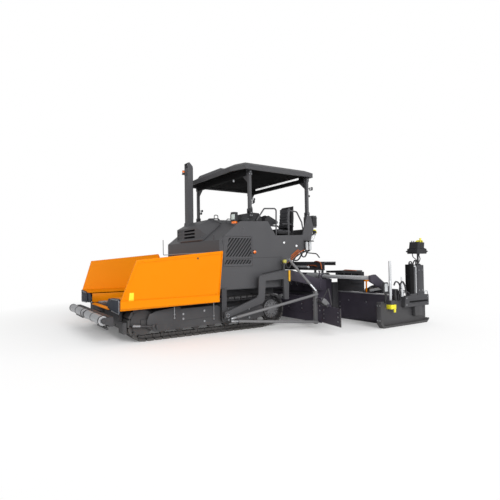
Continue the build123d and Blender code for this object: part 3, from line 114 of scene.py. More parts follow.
def evaluated(thing):
    """The plain mesh that an object's modifiers make."""
    return bpy.data.meshes.new_from_object(thing.evaluated_get(bpy.context.evaluated_depsgraph_get()))


def surface(name, colours, grain=3.0, rough=(0.4, 0.5), bump=0.1, bump_size=0.002, stretch=(1, 1, 1),
            dust=None, **shader):
    """A surface whose colour wanders between two tones, with fine relief.

    grain is the size of the colour's patches in metres, bump_size that of the relief,
    stretch squeezes the relief along an axis, and dust is a colour and the height it reaches."""
    material = bpy.data.materials.new(name)
    material.use_nodes = True
    tree = material.node_tree
    gloss = tree.nodes["Principled BSDF"]
    place = add_node(tree, "ShaderNodeTexCoord").outputs["Object"]
    patches = add_node(tree, "ShaderNodeTexNoise", {"Scale": 1 / grain, "Detail": 5.0, "Roughness": 0.6},
                       {"Vector": place})
    tone = add_node(tree, "ShaderNodeMix",
                    {"data_type": "RGBA", 6: linear(colours[0]), 7: linear(colours[1])},
                    {0: patches.outputs["Fac"]}).outputs[2]
    if dust:
        height = add_node(tree, "ShaderNodeSeparateXYZ", {}, {0: place}).outputs["Z"]
        low = add_node(tree, "ShaderNodeMapRange", {"From Min": dust[1], "From Max": 0.0,
                                                    "To Max": dust[2]},
                       {"Value": height}).outputs["Result"]
        share = add_node(tree, "ShaderNodeMath", {"operation": "MULTIPLY"},
                         {0: low, 1: patches.outputs["Fac"]}).outputs[0]
        tone = add_node(tree, "ShaderNodeMix", {"data_type": "RGBA", 7: linear(dust[0])},
                        {0: share, 6: tone}).outputs[2]
    tree.links.new(tone, gloss.inputs["Base Color"])
    wear = add_node(tree, "ShaderNodeMapRange", {"From Min": 0.3, "From Max": 0.7,
                                                 "To Min": rough[0], "To Max": rough[1]},
                    {"Value": patches.outputs["Fac"]})
    tree.links.new(wear.outputs["Result"], gloss.inputs["Roughness"])
    if bump:
        scaled = add_node(tree, "ShaderNodeMapping", {"Scale": stretch}, {"Vector": place})
        fine = add_node(tree, "ShaderNodeTexNoise", {"Scale": 1 / bump_size, "Detail": 3.0},
                        {"Vector": scaled.outputs["Vector"]})
        relief = add_node(tree, "ShaderNodeBump", {"Strength": bump, "Distance": bump_size},
                          {"Height": fine.outputs["Fac"]})
        tree.links.new(relief.outputs["Normal"], gloss.inputs["Normal"])
    for socket, value in shader.items():
        gloss.inputs[socket.replace("_", " ")].default_value = value
    return material


# %% [markdown]
# A paver's panels are sheet steel, sprayed with two-pack enamel: a smooth colour under a clear,
# slightly rippled gloss. The body is dark grey and the hopper orange, the frame below is a
# flatter grey with a little dust near the ground. The screed is near black, as it is oiled.

# %% Paints
grey_enamel = surface("dark_grey_enamel", ("454548", "4D4D4F"), grain=0.9, rough=(0.36, 0.46), bump=0.06,
                      bump_size=0.004, Specular_IOR_Level=0.35)
orange_enamel = surface("orange_enamel", ("DE7E00", "E28404"), grain=1.2, rough=(0.34, 0.42), bump=0.04,
                        bump_size=0.004, Specular_IOR_Level=0.08)
canopy_enamel = surface("mid_grey_enamel", ("3E3E41", "464648"), grain=0.9, rough=(0.4, 0.5), bump=0.05,
                        bump_size=0.004, Specular_IOR_Level=0.3)
frame_paint = surface("chassis_paint", ("353538", "3F3F42"), grain=0.25, rough=(0.45, 0.62), bump=0.12,
                      bump_size=0.006, dust=("625F5A", 0.55, 0.4), Specular_IOR_Level=0.35)
brace_grey = surface("brace_grey_paint", ("606062", "6A6A6C"), grain=0.3, rough=(0.4, 0.55), bump=0.08,
                     bump_size=0.005)
screed_paint = surface("screed_paint", ("34303A", "3E3A44"), grain=0.3, rough=(0.35, 0.55), bump=0.1,
                       bump_size=0.005, Specular_IOR_Level=0.35)
yellow_paint = surface("signal_yellow_paint", ("E6DC1E", "DDD02A"), grain=0.2, rough=(0.4, 0.5), bump=0.05)
knob_yellow = surface("aged_yellow", ("A8A248", "B2AB50"), grain=0.1, rough=(0.45, 0.6), bump=0.1)
lock_yellow = surface("lock_yellow", ("DCA41A", "E2AC22"), grain=0.1, rough=(0.4, 0.5), bump=0.05)

# %% [markdown]
# Steel that works stays bare: rollers, augers, chains and tubes are scratched along their length
# or round their turn. The shoes and links are cast and forged, dark and rough. Piston rods are
# hard chrome.

# %% Metals
worked_steel = surface("worked_steel", ("A2A3A6", "B6B7B9"), grain=0.12, rough=(0.38, 0.6), bump=0.15,
                       bump_size=0.003, stretch=(1, 6, 1), Metallic=0.75)
tube_steel = surface("zinc_plated_tube", ("9A9CA0", "AEB0B3"), grain=0.2, rough=(0.30, 0.42), bump=0.05,
                     bump_size=0.002, Metallic=0.9)
forged_steel = surface("forged_track_steel", ("37373A", "4A494B"), grain=0.08, rough=(0.45, 0.68), bump=0.3,
                       bump_size=0.005, Metallic=0.45, dust=("6A655E", 0.6, 0.5))
cast_iron = surface("cast_iron", ("4A4A4C", "565658"), grain=0.1, rough=(0.55, 0.7), bump=0.35,
                    bump_size=0.004, Metallic=0.4)
bright_tube = surface("bright_tube", ("B8BABD", "C8CACC"), grain=0.2, rough=(0.30, 0.42), bump=0.05,
                      bump_size=0.002, Metallic=0.3)
auger_steel = surface("auger_steel", ("6A6A6C", "7E7E80"), grain=0.12, rough=(0.4, 0.6), bump=0.2,
                      bump_size=0.003, Metallic=0.6)
chrome_rod = surface("hard_chrome", ("C9CBCE", "D6D8DA"), grain=0.3, rough=(0.08, 0.16), bump=0.0,
                     Metallic=1.0)

# %% [markdown]
# Rubber, plastic, cloth and glass make up the small pieces. The aprons of the hopper are
# conveyor belting, the seats wear a ribbed vinyl, and the hoses have a woven cover.

# %% Soft and clear materials
belt_rubber = surface("belt_rubber", ("232831", "2B313B"), grain=0.2, rough=(0.55, 0.7), bump=0.25,
                      bump_size=0.003, Specular_IOR_Level=0.25)
shoe_pad = surface("shoe_pad_rubber", ("303032", "3C3B3B"), grain=0.1, rough=(0.6, 0.8), bump=0.3,
                   bump_size=0.004, dust=("6A655E", 0.5, 0.5))
moulded_plastic = surface("moulded_plastic", ("212123", "29292B"), grain=0.3, rough=(0.42, 0.55), bump=0.2,
                          bump_size=0.0015, Specular_IOR_Level=0.3)
lining_black = surface("lining_black", ("111112", "161617"), grain=0.3, rough=(0.7, 0.85), bump=0.1,
                       bump_size=0.002, Specular_IOR_Level=0.1)
seat_vinyl = surface("seat_vinyl", ("2E2E32", "39393D"), grain=0.15, rough=(0.5, 0.62), bump=0.3,
                     bump_size=0.002)
woven_hose = surface("woven_hose", ("A9551F", "8A4216"), grain=0.03, rough=(0.55, 0.7), bump=0.4,
                     bump_size=0.004)
black_hose = surface("rubber_hose", ("27272A", "313134"), grain=0.05, rough=(0.5, 0.62), bump=0.2,
                     bump_size=0.003)
amber_lens = surface("amber_lens", ("F0700A", "FF7E12"), grain=0.1, rough=(0.12, 0.2), bump=0.0,
                     Transmission_Weight=0.25, Coat_Weight=0.5)
clear_lens = surface("clear_lens", ("D9DCDE", "E8EAEC"), grain=0.1, rough=(0.08, 0.14), bump=0.0,
                     Coat_Weight=0.6)
grey_lens = surface("grey_lens", ("9CA6A1", "B4BDB9"), grain=0.05, rough=(0.1, 0.2), bump=0.0,
                    Coat_Weight=0.5)
lamp_white = surface("lamp_diffuser", ("F2F4F6", "FFFFFF"), grain=0.1, rough=(0.3, 0.4), bump=0.0,
                     Emission_Color=(1.0, 1.0, 1.0, 1.0), Emission_Strength=0.6)
dark_glass = surface("dark_glass", ("15171A", "1B1E22"), grain=0.3, rough=(0.05, 0.1), bump=0.0,
                     Coat_Weight=0.8)

# %% [markdown]
# The carried-over CAD nodes keep their shape and only get a better finish.

# %% Finish of the CAD nodes
NODE_FINISHES = (
    (forged_steel, ("track_left", "track_right", "track_wheels")),
    (frame_paint, ("track_frames", "main_frame", "wing_barrel_left", "wing_barrel_right", "push_beam",
                   "tow_points", "lift_barrels", "end_gate_left", "end_gate_right")),
    (worked_steel, ("slat_conveyors", "push_roller_left", "push_roller_right")),
    (cast_iron, ("engine_block",)),
    (grey_enamel, ("body_shell", "grille_door_left", "grille_door_right", "hood_lid", "exhaust_stack",
                   "operator_platform", "handrails", "canopy_posts_front", "canopy_posts_rear",
                   "tow_arms")),
    (moulded_plastic, ("side_cowls", "control_console_left", "control_console_right")),
    (seat_vinyl, ("seats",)),
    (canopy_enamel, ("canopy_roof",)),
    (orange_enamel, ("hopper_wing_left", "hopper_wing_right")),
    (belt_rubber, ("rubber_apron_left", "rubber_apron_right")),
    (chrome_rod, ("wing_rod_left", "wing_rod_right", "lift_rods")),
    (auger_steel, ("auger_left", "auger_right")),
    (screed_paint, ("tunnel_plates", "main_screed", "screed_extension_left",
                    "screed_extension_right")),
    (brace_grey, ("tunnel_braces",)),
)
for material, names in NODE_FINISHES:
    for name in names:
        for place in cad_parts[name].material_slots:
            place.material = material
print(sum(len(names) for _, names in NODE_FINISHES), "of", len(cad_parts), "nodes finished")

# %% [markdown]
# A pale floor and plain soft light. The background is white to the camera only, so it never
# adds light to the machine. Away from the machine the floor fades to the same white in the
# picture, so no horizon shows, while the shadow under the machine stays.

# %% Studio
FLOOR_HALF = 60.0
FLOOR_GAP = 0.001
FADE = (3.2, 7.5)
LAMP_AIM = Vector((0, 0, 1.2))
floor_mesh = bpy.data.meshes.new("studio_floor")
corners = [(x * FLOOR_HALF, y * FLOOR_HALF, 0) for x, y in ((-1, -1), (1, -1), (1, 1), (-1, 1))]
floor_mesh.from_pydata(corners, [], [(0, 1, 2, 3)])
floor = new_object("studio_floor", floor_mesh)
floor.location.z = -FLOOR_GAP
paper = bpy.data.materials.new("studio_paper")
paper.use_nodes = True
tree = paper.node_tree
matt = tree.nodes["Principled BSDF"]
matt.inputs["Base Color"].default_value = linear("F4F4F4")
matt.inputs["Roughness"].default_value = 0.9
here = add_node(tree, "ShaderNodeTexCoord").outputs["Object"]
distance = add_node(tree, "ShaderNodeVectorMath", {"operation": "LENGTH"}, {0: here}).outputs["Value"]
fade = add_node(tree, "ShaderNodeMapRange", {"From Min": FADE[0], "From Max": FADE[1], "To Min": 0.12,
                                             "To Max": 1.0}, {"Value": distance}).outputs["Result"]
to_eye = add_node(tree, "ShaderNodeLightPath").outputs["Is Camera Ray"]
share = add_node(tree, "ShaderNodeMath", {"operation": "MULTIPLY"}, {0: fade, 1: to_eye}).outputs[0]
glow = add_node(tree, "ShaderNodeEmission", {"Color": (1, 1, 1, 1), "Strength": 1.0})
paper_mix = add_node(tree, "ShaderNodeMixShader", {}, {0: share, 1: matt.outputs[0], 2: glow.outputs[0]})
tree.links.new(paper_mix.outputs[0], tree.nodes["Material Output"].inputs["Surface"])
floor_mesh.materials.append(paper)

world = bpy.data.worlds.new("studio_world")
bpy.context.scene.world = world
world.use_nodes = True
tree = world.node_tree
tree.nodes.clear()
path = add_node(tree, "ShaderNodeLightPath")
seen = add_node(tree, "ShaderNodeMath", {"operation": "MAXIMUM"},
                {0: path.outputs["Is Camera Ray"], 1: path.outputs["Is Transmission Ray"]})
ambient = add_node(tree, "ShaderNodeBackground", {"Color": (1, 1, 1, 1), "Strength": 0.55})
white = add_node(tree, "ShaderNodeBackground", {"Color": (1, 1, 1, 1), "Strength": 1.0})
both = add_node(tree, "ShaderNodeMixShader", {},
                {0: seen.outputs[0], 1: ambient.outputs[0], 2: white.outputs[0]})
add_node(tree, "ShaderNodeOutputWorld", {}, {"Surface": both.outputs[0]})

LAMPS = (
    # name, place, size, watts
    ("key_light", (5.0, 22.0, 11.0), 13.0, 4300.0),
    ("front_light", (12.0, 1.0, 5.0), 6.0, 230.0),
    ("rear_light", (-10.0, 4.0, 8.0), 6.0, 300.0),
)
for name, place, size, watts in LAMPS:
    light = bpy.data.lights.new(name, "AREA")
    light.size = size
    light.energy = watts
    lamp = new_object(name, light)
    lamp.location = place
    lamp.rotation_euler = (LAMP_AIM - Vector(place)).to_track_quat("-Z", "Y").to_euler()
bpy.context.scene.view_settings.view_transform = "Standard"

# %% [markdown]
# Most small parts are built from three forms: a block with softened edges, a plate cut to an
# outline, and a round bar. A Shape collects them in one mesh, on the left side, and can repeat
# them mirrored on the right. The bevel at the end gives edges that catch the light.


# %% Shape builder
def add_mirrored(mesh):
    """Copies all of a mesh to the machine's other side, and gives the copied faces."""
    copy = bmesh.ops.duplicate(mesh, geom=mesh.verts[:] + mesh.edges[:] + mesh.faces[:])["geom"]
    for part in copy:
        if isinstance(part, bmesh.types.BMVert):
            part.co.y = -part.co.y
    return [part for part in copy if isinstance(part, bmesh.types.BMFace)]


class Shape:
    """Collects forms in one mesh, then makes it a piece that rides on a body."""

    def __init__(self):
        self.mesh = bmesh.new()

    def add(self, verts, faces):
        """Vertices, and the faces that join them by number."""
        made = [self.mesh.verts.new(v) for v in verts]
        for face in faces:
            self.mesh.faces.new([made[i] for i in face])

    def block(self, low, high):
        """A box between two corners."""
        x, y, z = [(low[i], high[i]) for i in range(3)]
        verts = [(x[i], y[j], z[k]) for i in (0, 1) for j in (0, 1) for k in (0, 1)]
        self.add(verts, ((0, 1, 3, 2), (4, 6, 7, 5), (0, 4, 5, 1), (2, 3, 7, 6), (0, 2, 6, 4),
                         (1, 5, 7, 3)))

    def plate(self, outline, axis, low, high):
        """An outline of two coordinates, given thickness along axis x, y or z."""
        place = {"x": lambda a, b, c: (c, a, b), "y": lambda a, b, c: (a, c, b),
                 "z": lambda a, b, c: (a, b, c)}[axis]
        count = len(outline)
        verts = [place(a, b, low) for a, b in outline] + [place(a, b, high) for a, b in outline]
        faces = [tuple(range(count)), tuple(range(2 * count - 1, count - 1, -1))]
        faces += [(i, i + count, (i + 1) % count + count, (i + 1) % count) for i in range(count)]
        self.add(verts, faces)

    def bar(self, start, end, radius, sides=16):
        """A round bar from one point to another."""
        start, end = Vector(start), Vector(end)
        self.turned(start, end - start, ((0.0, radius), ((end - start).length, radius)), sides)

    def circle(self, centre, side, other, radius, sides):
        """A ring of vertices round a centre, in the plane of two directions."""
        return [self.mesh.verts.new(centre + radius * (cos(2 * pi * i / sides) * side
                                                       + sin(2 * pi * i / sides) * other))
                for i in range(sides)]

    def skin(self, rings):
        """Faces from each ring to the next."""
        for low, high in zip(rings, rings[1:]):
            for i in range(len(low)):
                after = (i + 1) % len(low)
                self.mesh.faces.new((low[i], low[after], high[after], high[i]))

    def capped(self, rings):
        """Faces from ring to ring, and one that closes each end."""
        self.skin(rings)
        self.mesh.faces.new(rings[0][::-1])
        self.mesh.faces.new(rings[-1])

    def turned(self, start, axis, profile, sides=24):
        """A closed turned form: profile lists (distance along the axis, radius)."""
        start, axis = Vector(start), Vector(axis).normalized()
        side = axis.orthogonal().normalized()
        other = axis.cross(side)
        self.capped([self.circle(start + along * axis, side, other, radius, sides)
                     for along, radius in profile])

    def sleeve(self, start, length, outer, inner, sides=32):
        """A tube along Y with an open bore."""
        rings = []
        for along, radius in rectangle(0.0, outer, length, inner):
            turns = [2 * pi * i / sides for i in range(sides)]
            rings.append([self.mesh.verts.new((start[0] + radius * cos(turn), start[1] + along,
                                               start[2] + radius * sin(turn))) for turn in turns])
        self.skin(rings + rings[:1])

    def tube(self, points, radius, sides=12, bend=0.06):
        """A bent tube through points, with its corners rounded."""
        line = round_corners([Vector(p) for p in points], bend)
        tangents = [(b - a).normalized() for a, b in zip(line, line[1:])]
        side = tangents[0].orthogonal().normalized()
        rings = []
        for number, centre in enumerate(line):
            before = tangents[max(number - 1, 0)]
            after = tangents[min(number, len(tangents) - 1)]
            axis = (before + after).normalized()
            side = (side - axis * side.dot(axis)).normalized()
            other = axis.cross(side)
            rings.append(self.circle(centre, side, other, radius, sides))
        self.capped(rings)

    def mirrored(self):
        """Adds the right-hand copy of everything so far, and gives the shape back."""
        add_mirrored(self.mesh)
        return self

    def piece(self, name, material, body, slot, bevel=0.003, smooth=40, side=1):
        """Makes the object. side -1 turns the whole shape to the right-hand side."""
        if side < 0:
            for vert in self.mesh.verts:
                vert.co.y = -vert.co.y
        bmesh.ops.recalc_face_normals(self.mesh, faces=self.mesh.faces[:])
        data = bpy.data.meshes.new(name)
        self.mesh.to_mesh(data)
        self.mesh.free()
        thing = new_object(name, data)
        data.materials.append(material)
        if bevel:
            soften = thing.modifiers.new("soft_edges", "BEVEL")
            soften.width = bevel
            soften.segments = 2
            soften.limit_method = "ANGLE"
            soften.angle_limit = radians(35)
            soften.harden_normals = False
        baked = evaluated(thing)
        thing.modifiers.clear()
        thing.data = baked
        baked.name = name
        baked.shade_smooth()
        baked.set_sharp_from_angle(angle=radians(smooth))
        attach(thing, body)
        return thing


def rectangle(first, second, other_first, other_second):
    """The outline between two opposite corners, each given by its two coordinates."""
    return ((first, second), (other_first, second), (other_first, other_second), (first, other_second))


def round_corners(points, bend):
    """The points of a line with each corner replaced by a short arc."""
    line = [points[0]]
    for before, corner, after in zip(points, points[1:], points[2:]):
        back, on = (before - corner), (after - corner)
        cut = min(bend, 0.45 * back.length, 0.45 * on.length)
        first, last = corner + back.normalized() * cut, corner + on.normalized() * cut
        for step in range(6):
            t = step / 5
            line.append((1 - t) ** 2 * first + 2 * t * (1 - t) * corner + t ** 2 * last)
    line.append(points[-1])
    return line

# %% [markdown]
# A track is a chain of forged links that carries a steel shoe on each pitch, and each shoe has a
# rubber pad so that the machine can drive on asphalt. Fifty shoes are alike, so one shoe is
# modelled, and Geometry Nodes set it at even steps along the loop: forwards on the ground,
# round the front idler, back along the top and down round the drive wheel.

# %% Loop of the track
SIDES = (("left", 1), ("right", -1))
SPROCKET = (-0.250, 0.390)
IDLER = (2.830, 0.340)
LOOP_R = 0.340
FIRST_ROLLER_X = 0.060
TRACK_Y = 1.115
SHOE_COUNT = 50


def loop_points(steps=28):
    """The outer line of the track as (x, z) points, starting at the first roller."""
    slope = atan2(SPROCKET[1] - IDLER[1], IDLER[0] - SPROCKET[0])
    away = (FIRST_ROLLER_X - SPROCKET[0], -SPROCKET[1])
    reach = hypot(*away)
    spread = atan2((reach ** 2 - LOOP_R ** 2) ** 0.5, LOOP_R)
    lower = atan2(away[1], away[0]) - spread
    upper = pi / 2 - slope
    line = [(FIRST_ROLLER_X, 0.0)]
    for centre, first, last in ((IDLER, -pi / 2, upper), (SPROCKET, upper, lower + 2 * pi)):
        for step in range(steps + 1):
            angle = first + (last - first) * step / steps
            line.append((centre[0] + LOOP_R * cos(angle), centre[1] + LOOP_R * sin(angle)))
    return line


# %% One shoe with its pad and links
def shoe_mesh():
    """One shoe. Its X runs along the track, and its Z from the ground inwards."""
    shape = Shape()
    shape.plate(((-0.062, 0.000), (0.056, 0.000), (0.066, 0.010), (0.066, 0.026), (-0.070, 0.026),
                 (-0.070, 0.008)), "y", -0.158, 0.158)
    shape.block((-0.074, -0.150, 0.026), (0.070, 0.150, 0.040))
    for y in (-0.056, 0.038):
        shape.plate(((-0.078, 0.050), (-0.060, 0.040), (0.060, 0.040), (0.078, 0.050), (0.078, 0.092),
                     (0.062, 0.101), (0.020, 0.094), (-0.020, 0.094), (-0.062, 0.101), (-0.078, 0.092)),
                    "y", y, y + 0.018)
    shape.bar((0.0, -0.064, 0.070), (0.0, 0.064, 0.070), 0.021, 10)
    for x in (-0.045, 0.045):
        for y in (-0.115, -0.085, 0.085, 0.115):
            shape.bar((x, y, 0.040), (x, y, 0.052), 0.011, 6)
    data = bpy.data.meshes.new("shoe")
    bmesh.ops.recalc_face_normals(shape.mesh, faces=shape.mesh.faces[:])
    shape.mesh.to_mesh(data)
    shape.mesh.free()
    data.materials.append(forged_steel)
    data.materials.append(shoe_pad)
    for face in list(data.polygons)[:8]:
        face.material_index = 1
    return bpy.data.objects.new("shoe", data)


# %% Nodes that lay a shape along a loop
def group(name, inputs):
    """An empty Geometry Nodes tree with named inputs, and its first and last node."""
    tree = bpy.data.node_groups.new(name, "GeometryNodeTree")
    tree.interface.new_socket("Geometry", in_out="INPUT", socket_type="NodeSocketGeometry")
    for label, kind in inputs:
        tree.interface.new_socket(label, in_out="INPUT", socket_type=kind)
    tree.interface.new_socket("Geometry", in_out="OUTPUT", socket_type="NodeSocketGeometry")
    return tree, tree.nodes.new("NodeGroupInput"), tree.nodes.new("NodeGroupOutput")


def run_nodes(base, tree, values):
    """Runs a tree on an object with its named inputs set, and keeps the result as its mesh."""
    step = base.modifiers.new("nodes", "NODES")
    step.node_group = tree
    for item in tree.interface.items_tree:
        if item.in_out == "INPUT" and item.name in values:
            step[item.identifier] = values[item.name]
    bpy.context.view_layer.update()
    baked = evaluated(base)
    base.modifiers.clear()
    return baked


def end_tree(tree, last, points, piece, rotation=None, finish=None):
    """Ends a tree: the piece on every point, made real and given its material."""
    links = {"Points": points.outputs[0], "Instance": piece}
    if rotation:
        links["Rotation"] = rotation.outputs[0]
    laid = add_node(tree, "GeometryNodeInstanceOnPoints", {}, links)
    done = add_node(tree, "GeometryNodeRealizeInstances", {}, {"Geometry": laid.outputs[0]})
    if finish:
        done = add_node(tree, "GeometryNodeSetMaterial", {}, {"Geometry": done.outputs[0],
                                                              "Material": finish})
    tree.links.new(done.outputs[0], last.inputs["Geometry"])


along_loop, first, last = group("shoes_along_loop", (("Shoe", "NodeSocketObject"),
                                                     ("Count", "NodeSocketInt")))
curve = add_node(along_loop, "GeometryNodeMeshToCurve", {}, {"Mesh": first.outputs["Geometry"]})
points = add_node(along_loop, "GeometryNodeCurveToPoints", {"mode": "COUNT"},
                  {"Curve": curve.outputs[0], "Count": first.outputs["Count"]})
facing = add_node(along_loop, "FunctionNodeAlignRotationToVector", {"axis": "X", "pivot_axis": "Y"},
                  {"Vector": points.outputs["Tangent"]})
one = add_node(along_loop, "GeometryNodeObjectInfo", {}, {"Object": first.outputs["Shoe"]})
end_tree(along_loop, last, points, one.outputs["Geometry"], facing)

# %% Both tracks
shoe = shoe_mesh()
bpy.context.scene.collection.objects.link(shoe)
for name, side in SIDES:
    line = loop_points()
    chain_line = bpy.data.meshes.new("loop")
    edges = [(i, (i + 1) % len(line)) for i in range(len(line))]
    chain_line.from_pydata([(x, side * TRACK_Y, z) for x, z in line], edges, [])
    base = new_object(f"track_chain_{name}", chain_line)
    base.data = run_nodes(base, along_loop, {"Shoe": shoe, "Count": SHOE_COUNT})
    base.data.shade_smooth()
    base.data.set_sharp_from_angle(angle=radians(35))
    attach(base, "tractor")
    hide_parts(f"track_{name}")
    print(base.name, len(base.data.polygons), "faces")
bpy.data.objects.remove(shoe)

# %% [markdown]
# Bolts are the most repeated thing on the machine. A tree turns every point of a mesh into a
# bolt: a round washer with a hexagon head. Each point carries the direction that its bolt
# faces, and the tree's inputs give the head's radius and height.

# %% Bolt nodes
bolt_nodes, first, last = group("bolts_on_points", (("Radius", "NodeSocketFloat"),
                                                    ("Height", "NodeSocketFloat"),
                                                    ("Finish", "NodeSocketMaterial")))
points = add_node(bolt_nodes, "GeometryNodeMeshToPoints", {}, {"Mesh": first.outputs["Geometry"]})
facing = add_node(bolt_nodes, "GeometryNodeInputNamedAttribute", {"data_type": "FLOAT_VECTOR",
                                                                  "Name": "facing"})
turned = add_node(bolt_nodes, "FunctionNodeAlignRotationToVector", {"axis": "Z"},
                  {"Vector": facing.outputs["Attribute"]})
head = add_node(bolt_nodes, "GeometryNodeMeshCylinder", {"Vertices": 6},
                {"Radius": first.outputs["Radius"], "Depth": first.outputs["Height"]})
wide = add_node(bolt_nodes, "ShaderNodeMath", {"operation": "MULTIPLY", 1: 1.35},
                {0: first.outputs["Radius"]})
thin = add_node(bolt_nodes, "ShaderNodeMath", {"operation": "MULTIPLY", 1: 0.35},
                {0: first.outputs["Height"]})
washer = add_node(bolt_nodes, "GeometryNodeMeshCylinder", {"Vertices": 12},
                  {"Radius": wide.outputs[0], "Depth": thin.outputs[0]})
both = add_node(bolt_nodes, "GeometryNodeJoinGeometry", {})
bolt_nodes.links.new(head.outputs["Mesh"], both.inputs[0])
bolt_nodes.links.new(washer.outputs["Mesh"], both.inputs[0])
end_tree(bolt_nodes, last, points, both.outputs[0], turned, first.outputs["Finish"])


def bolts(name, places, material, body, radius=0.012, height=0.012):
    """Bolts at places, a list of (point, direction). Each one sits half sunk at its point."""
    data = bpy.data.meshes.new(name)
    data.from_pydata([place for place, _ in places], [], [])
    data.attributes.new("facing", "FLOAT_VECTOR", "POINT").data.foreach_set(
        "vector", [value for _, way in places for value in way])
    base = new_object(name, data)
    base.data = run_nodes(base, bolt_nodes, {"Radius": radius, "Height": height, "Finish": material})
    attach(base, body)
    return base


def ring(centre, way, radius, count, start=0.0):
    """Points of a bolt circle round centre, all facing way."""
    way = Vector(way).normalized()
    side = Vector((0, 0, 1)) if abs(way.z) < 0.9 else Vector((1, 0, 0))
    other = way.cross(side)
    return [(Vector(centre) + radius * (cos(start + 2 * pi * i / count) * side
                                        + sin(start + 2 * pi * i / count) * other), way)
            for i in range(count)]


def row(start, end, count, way):
    """Points evenly along a line, all facing way."""
    start, end = Vector(start), Vector(end)
    return [(start.lerp(end, i / max(count - 1, 1)), Vector(way)) for i in range(count)]


def both_sides(places):
    """The places, and the same ones on the right-hand side."""
    return places + [(Vector((p[0], -p[1], p[2])), Vector((w[0], -w[1], w[2]))) for p, w in places]

# %% [markdown]
# A row of equal pieces, such as the ribs of a lining or the treads of a step, is one piece and a
# line of points. The tree puts the piece on each point, makes the copies real and gives them
# their material.

# %% Row nodes
row_nodes, first, last = group("pieces_in_a_row", (("Piece", "NodeSocketObject"),
                                                   ("Count", "NodeSocketInt"),
                                                   ("Step", "NodeSocketVector"),
                                                   ("Finish", "NodeSocketMaterial")))
line = add_node(row_nodes, "GeometryNodeMeshLine", {}, {"Count": first.outputs["Count"],
                                                        "Offset": first.outputs["Step"]})
one = add_node(row_nodes, "GeometryNodeObjectInfo", {}, {"Object": first.outputs["Piece"]})
end_tree(row_nodes, last, line, one.outputs["Geometry"], finish=first.outputs["Finish"])


def repeated(piece, count, step, material):
    """Repeats a finished piece along a step, and keeps the result as its mesh."""
    seed = new_object("seed", piece.data)
    piece.data = run_nodes(piece, row_nodes, {"Piece": seed, "Count": count, "Step": step,
                                              "Finish": material})
    bpy.data.objects.remove(seed)
    return piece


# %% [markdown]
# The hopper's wings are pressed sheet. A folded lip stiffens the top and front edges, a flange
# closes the rear, and the warning plate by the front corner is left bare. The lip is a thin
# plate on the leaning wall, so one helper leans each outline onto that wall.

# %% Hopper wings
AHEAD = (1, 0, 0)
OUT = (0, 1, 0)
UP = (0, 0, 1)
WALL_FOOT = (1.380, 0.610)
WALL_LEAN = 0.161
WALL_T = 0.025


def wall_y(z):
    """The outer face of the wing's leaning wall at a height."""
    return WALL_FOOT[0] + WALL_T + (z - WALL_FOOT[1]) * WALL_LEAN


def on_wall(shape, outline, inner, outer):
    """A plate of (x, z) points on the leaning wall, between two distances from its face."""
    start = len(shape.mesh.verts)
    shape.plate(outline, "y", inner, outer)
    shape.mesh.verts.ensure_lookup_table()
    for vert in shape.mesh.verts[start:]:
        vert.co.y += wall_y(vert.co.z)


WING_LIP = ((1.270, 1.689), (3.089, 1.519), (3.349, 0.785), (3.300, 0.785), (3.052, 1.462), (1.270, 1.629))
for name, side in SIDES:
    lip = Shape()
    on_wall(lip, WING_LIP, -0.004, 0.007)
    on_wall(lip, rectangle(1.268, 0.700, 1.284, 1.680), -0.004, 0.018)
    on_wall(lip, ((1.300, 0.815), (3.310, 0.800), (3.308, 0.806), (1.300, 0.821)), -0.004, 0.004)
    lip.piece(f"wing_lip_{name}", orange_enamel, f"wing_{name}", "hopper_paint", bevel=0.003, side=side)
    plate = Shape()
    on_wall(plate, ((3.105, 0.772), (3.200, 0.772), (3.190, 0.935), (3.110, 0.935)), -0.002, 0.003)
    plate.piece(f"wing_plate_{name}", yellow_paint, f"wing_{name}", "hopper_paint", bevel=0.001, side=side)
    places = [((x, side * (wall_y(z) + 0.007), z), (0, side, 0))
              for x, z in ((2.960, 1.502), (2.300, 1.562), (1.560, 1.632), (1.340, 0.830), (3.270, 0.900))]
    bolts(f"wing_bolts_{name}", places, orange_enamel, f"wing_{name}", 0.014, 0.014)
    # A flat dark disc paints the shade seen in a hole in the wing.
    hole_shade = Shape()
    on_wall(hole_shade, [(1.831 + 0.020 * cos(pi * i / 8), 1.543 + 0.020 * sin(pi * i / 8)) for i in range(16)],
            -0.002, 0.002)
    hole_shade.piece(f"wing_hole_{name}", moulded_plastic, f"wing_{name}", "hopper_paint", bevel=0, side=side)

# %% [markdown]
# A rubber apron closes the gap between each wing and the truck's rollers. It is a cut sheet of
# conveyor belting, held along its top by a clamping bar with bolts and edged with a steel strip
# where it rubs.

# %% Aprons
APRON_FACE = 3.364
EDGE_STRIP = ((1.394, 0.800), (1.394, 0.582), (1.358, 0.547), (0.934, 0.567), (0.934, 0.585),
              (1.350, 0.566), (1.375, 0.590), (1.375, 0.800))
CLAMP_BAR = ((0.905, 0.776), (0.960, 0.810), (1.368, 0.830), (1.386, 0.806), (1.372, 0.796), (0.968, 0.776),
             (0.915, 0.745))
for name, side in SIDES:
    strip = Shape()
    strip.plate(EDGE_STRIP, "x", APRON_FACE - 0.001, APRON_FACE + 0.005)
    strip.piece(f"apron_edge_{name}", tube_steel, f"wing_{name}", "steel", bevel=0.0015, side=side)
    clamp = Shape()
    clamp.plate(CLAMP_BAR, "x", APRON_FACE - 0.001, APRON_FACE + 0.008)
    clamp.piece(f"apron_clamp_{name}", frame_paint, f"wing_{name}", "frame_paint", bevel=0.002, side=side)
    places = row((APRON_FACE + 0.009, side * 0.965, 0.794), (APRON_FACE + 0.009, side * 1.355, 0.812), 6,
                 AHEAD)
    bolts(f"apron_bolts_{name}", places, tube_steel, f"wing_{name}", 0.011, 0.010)

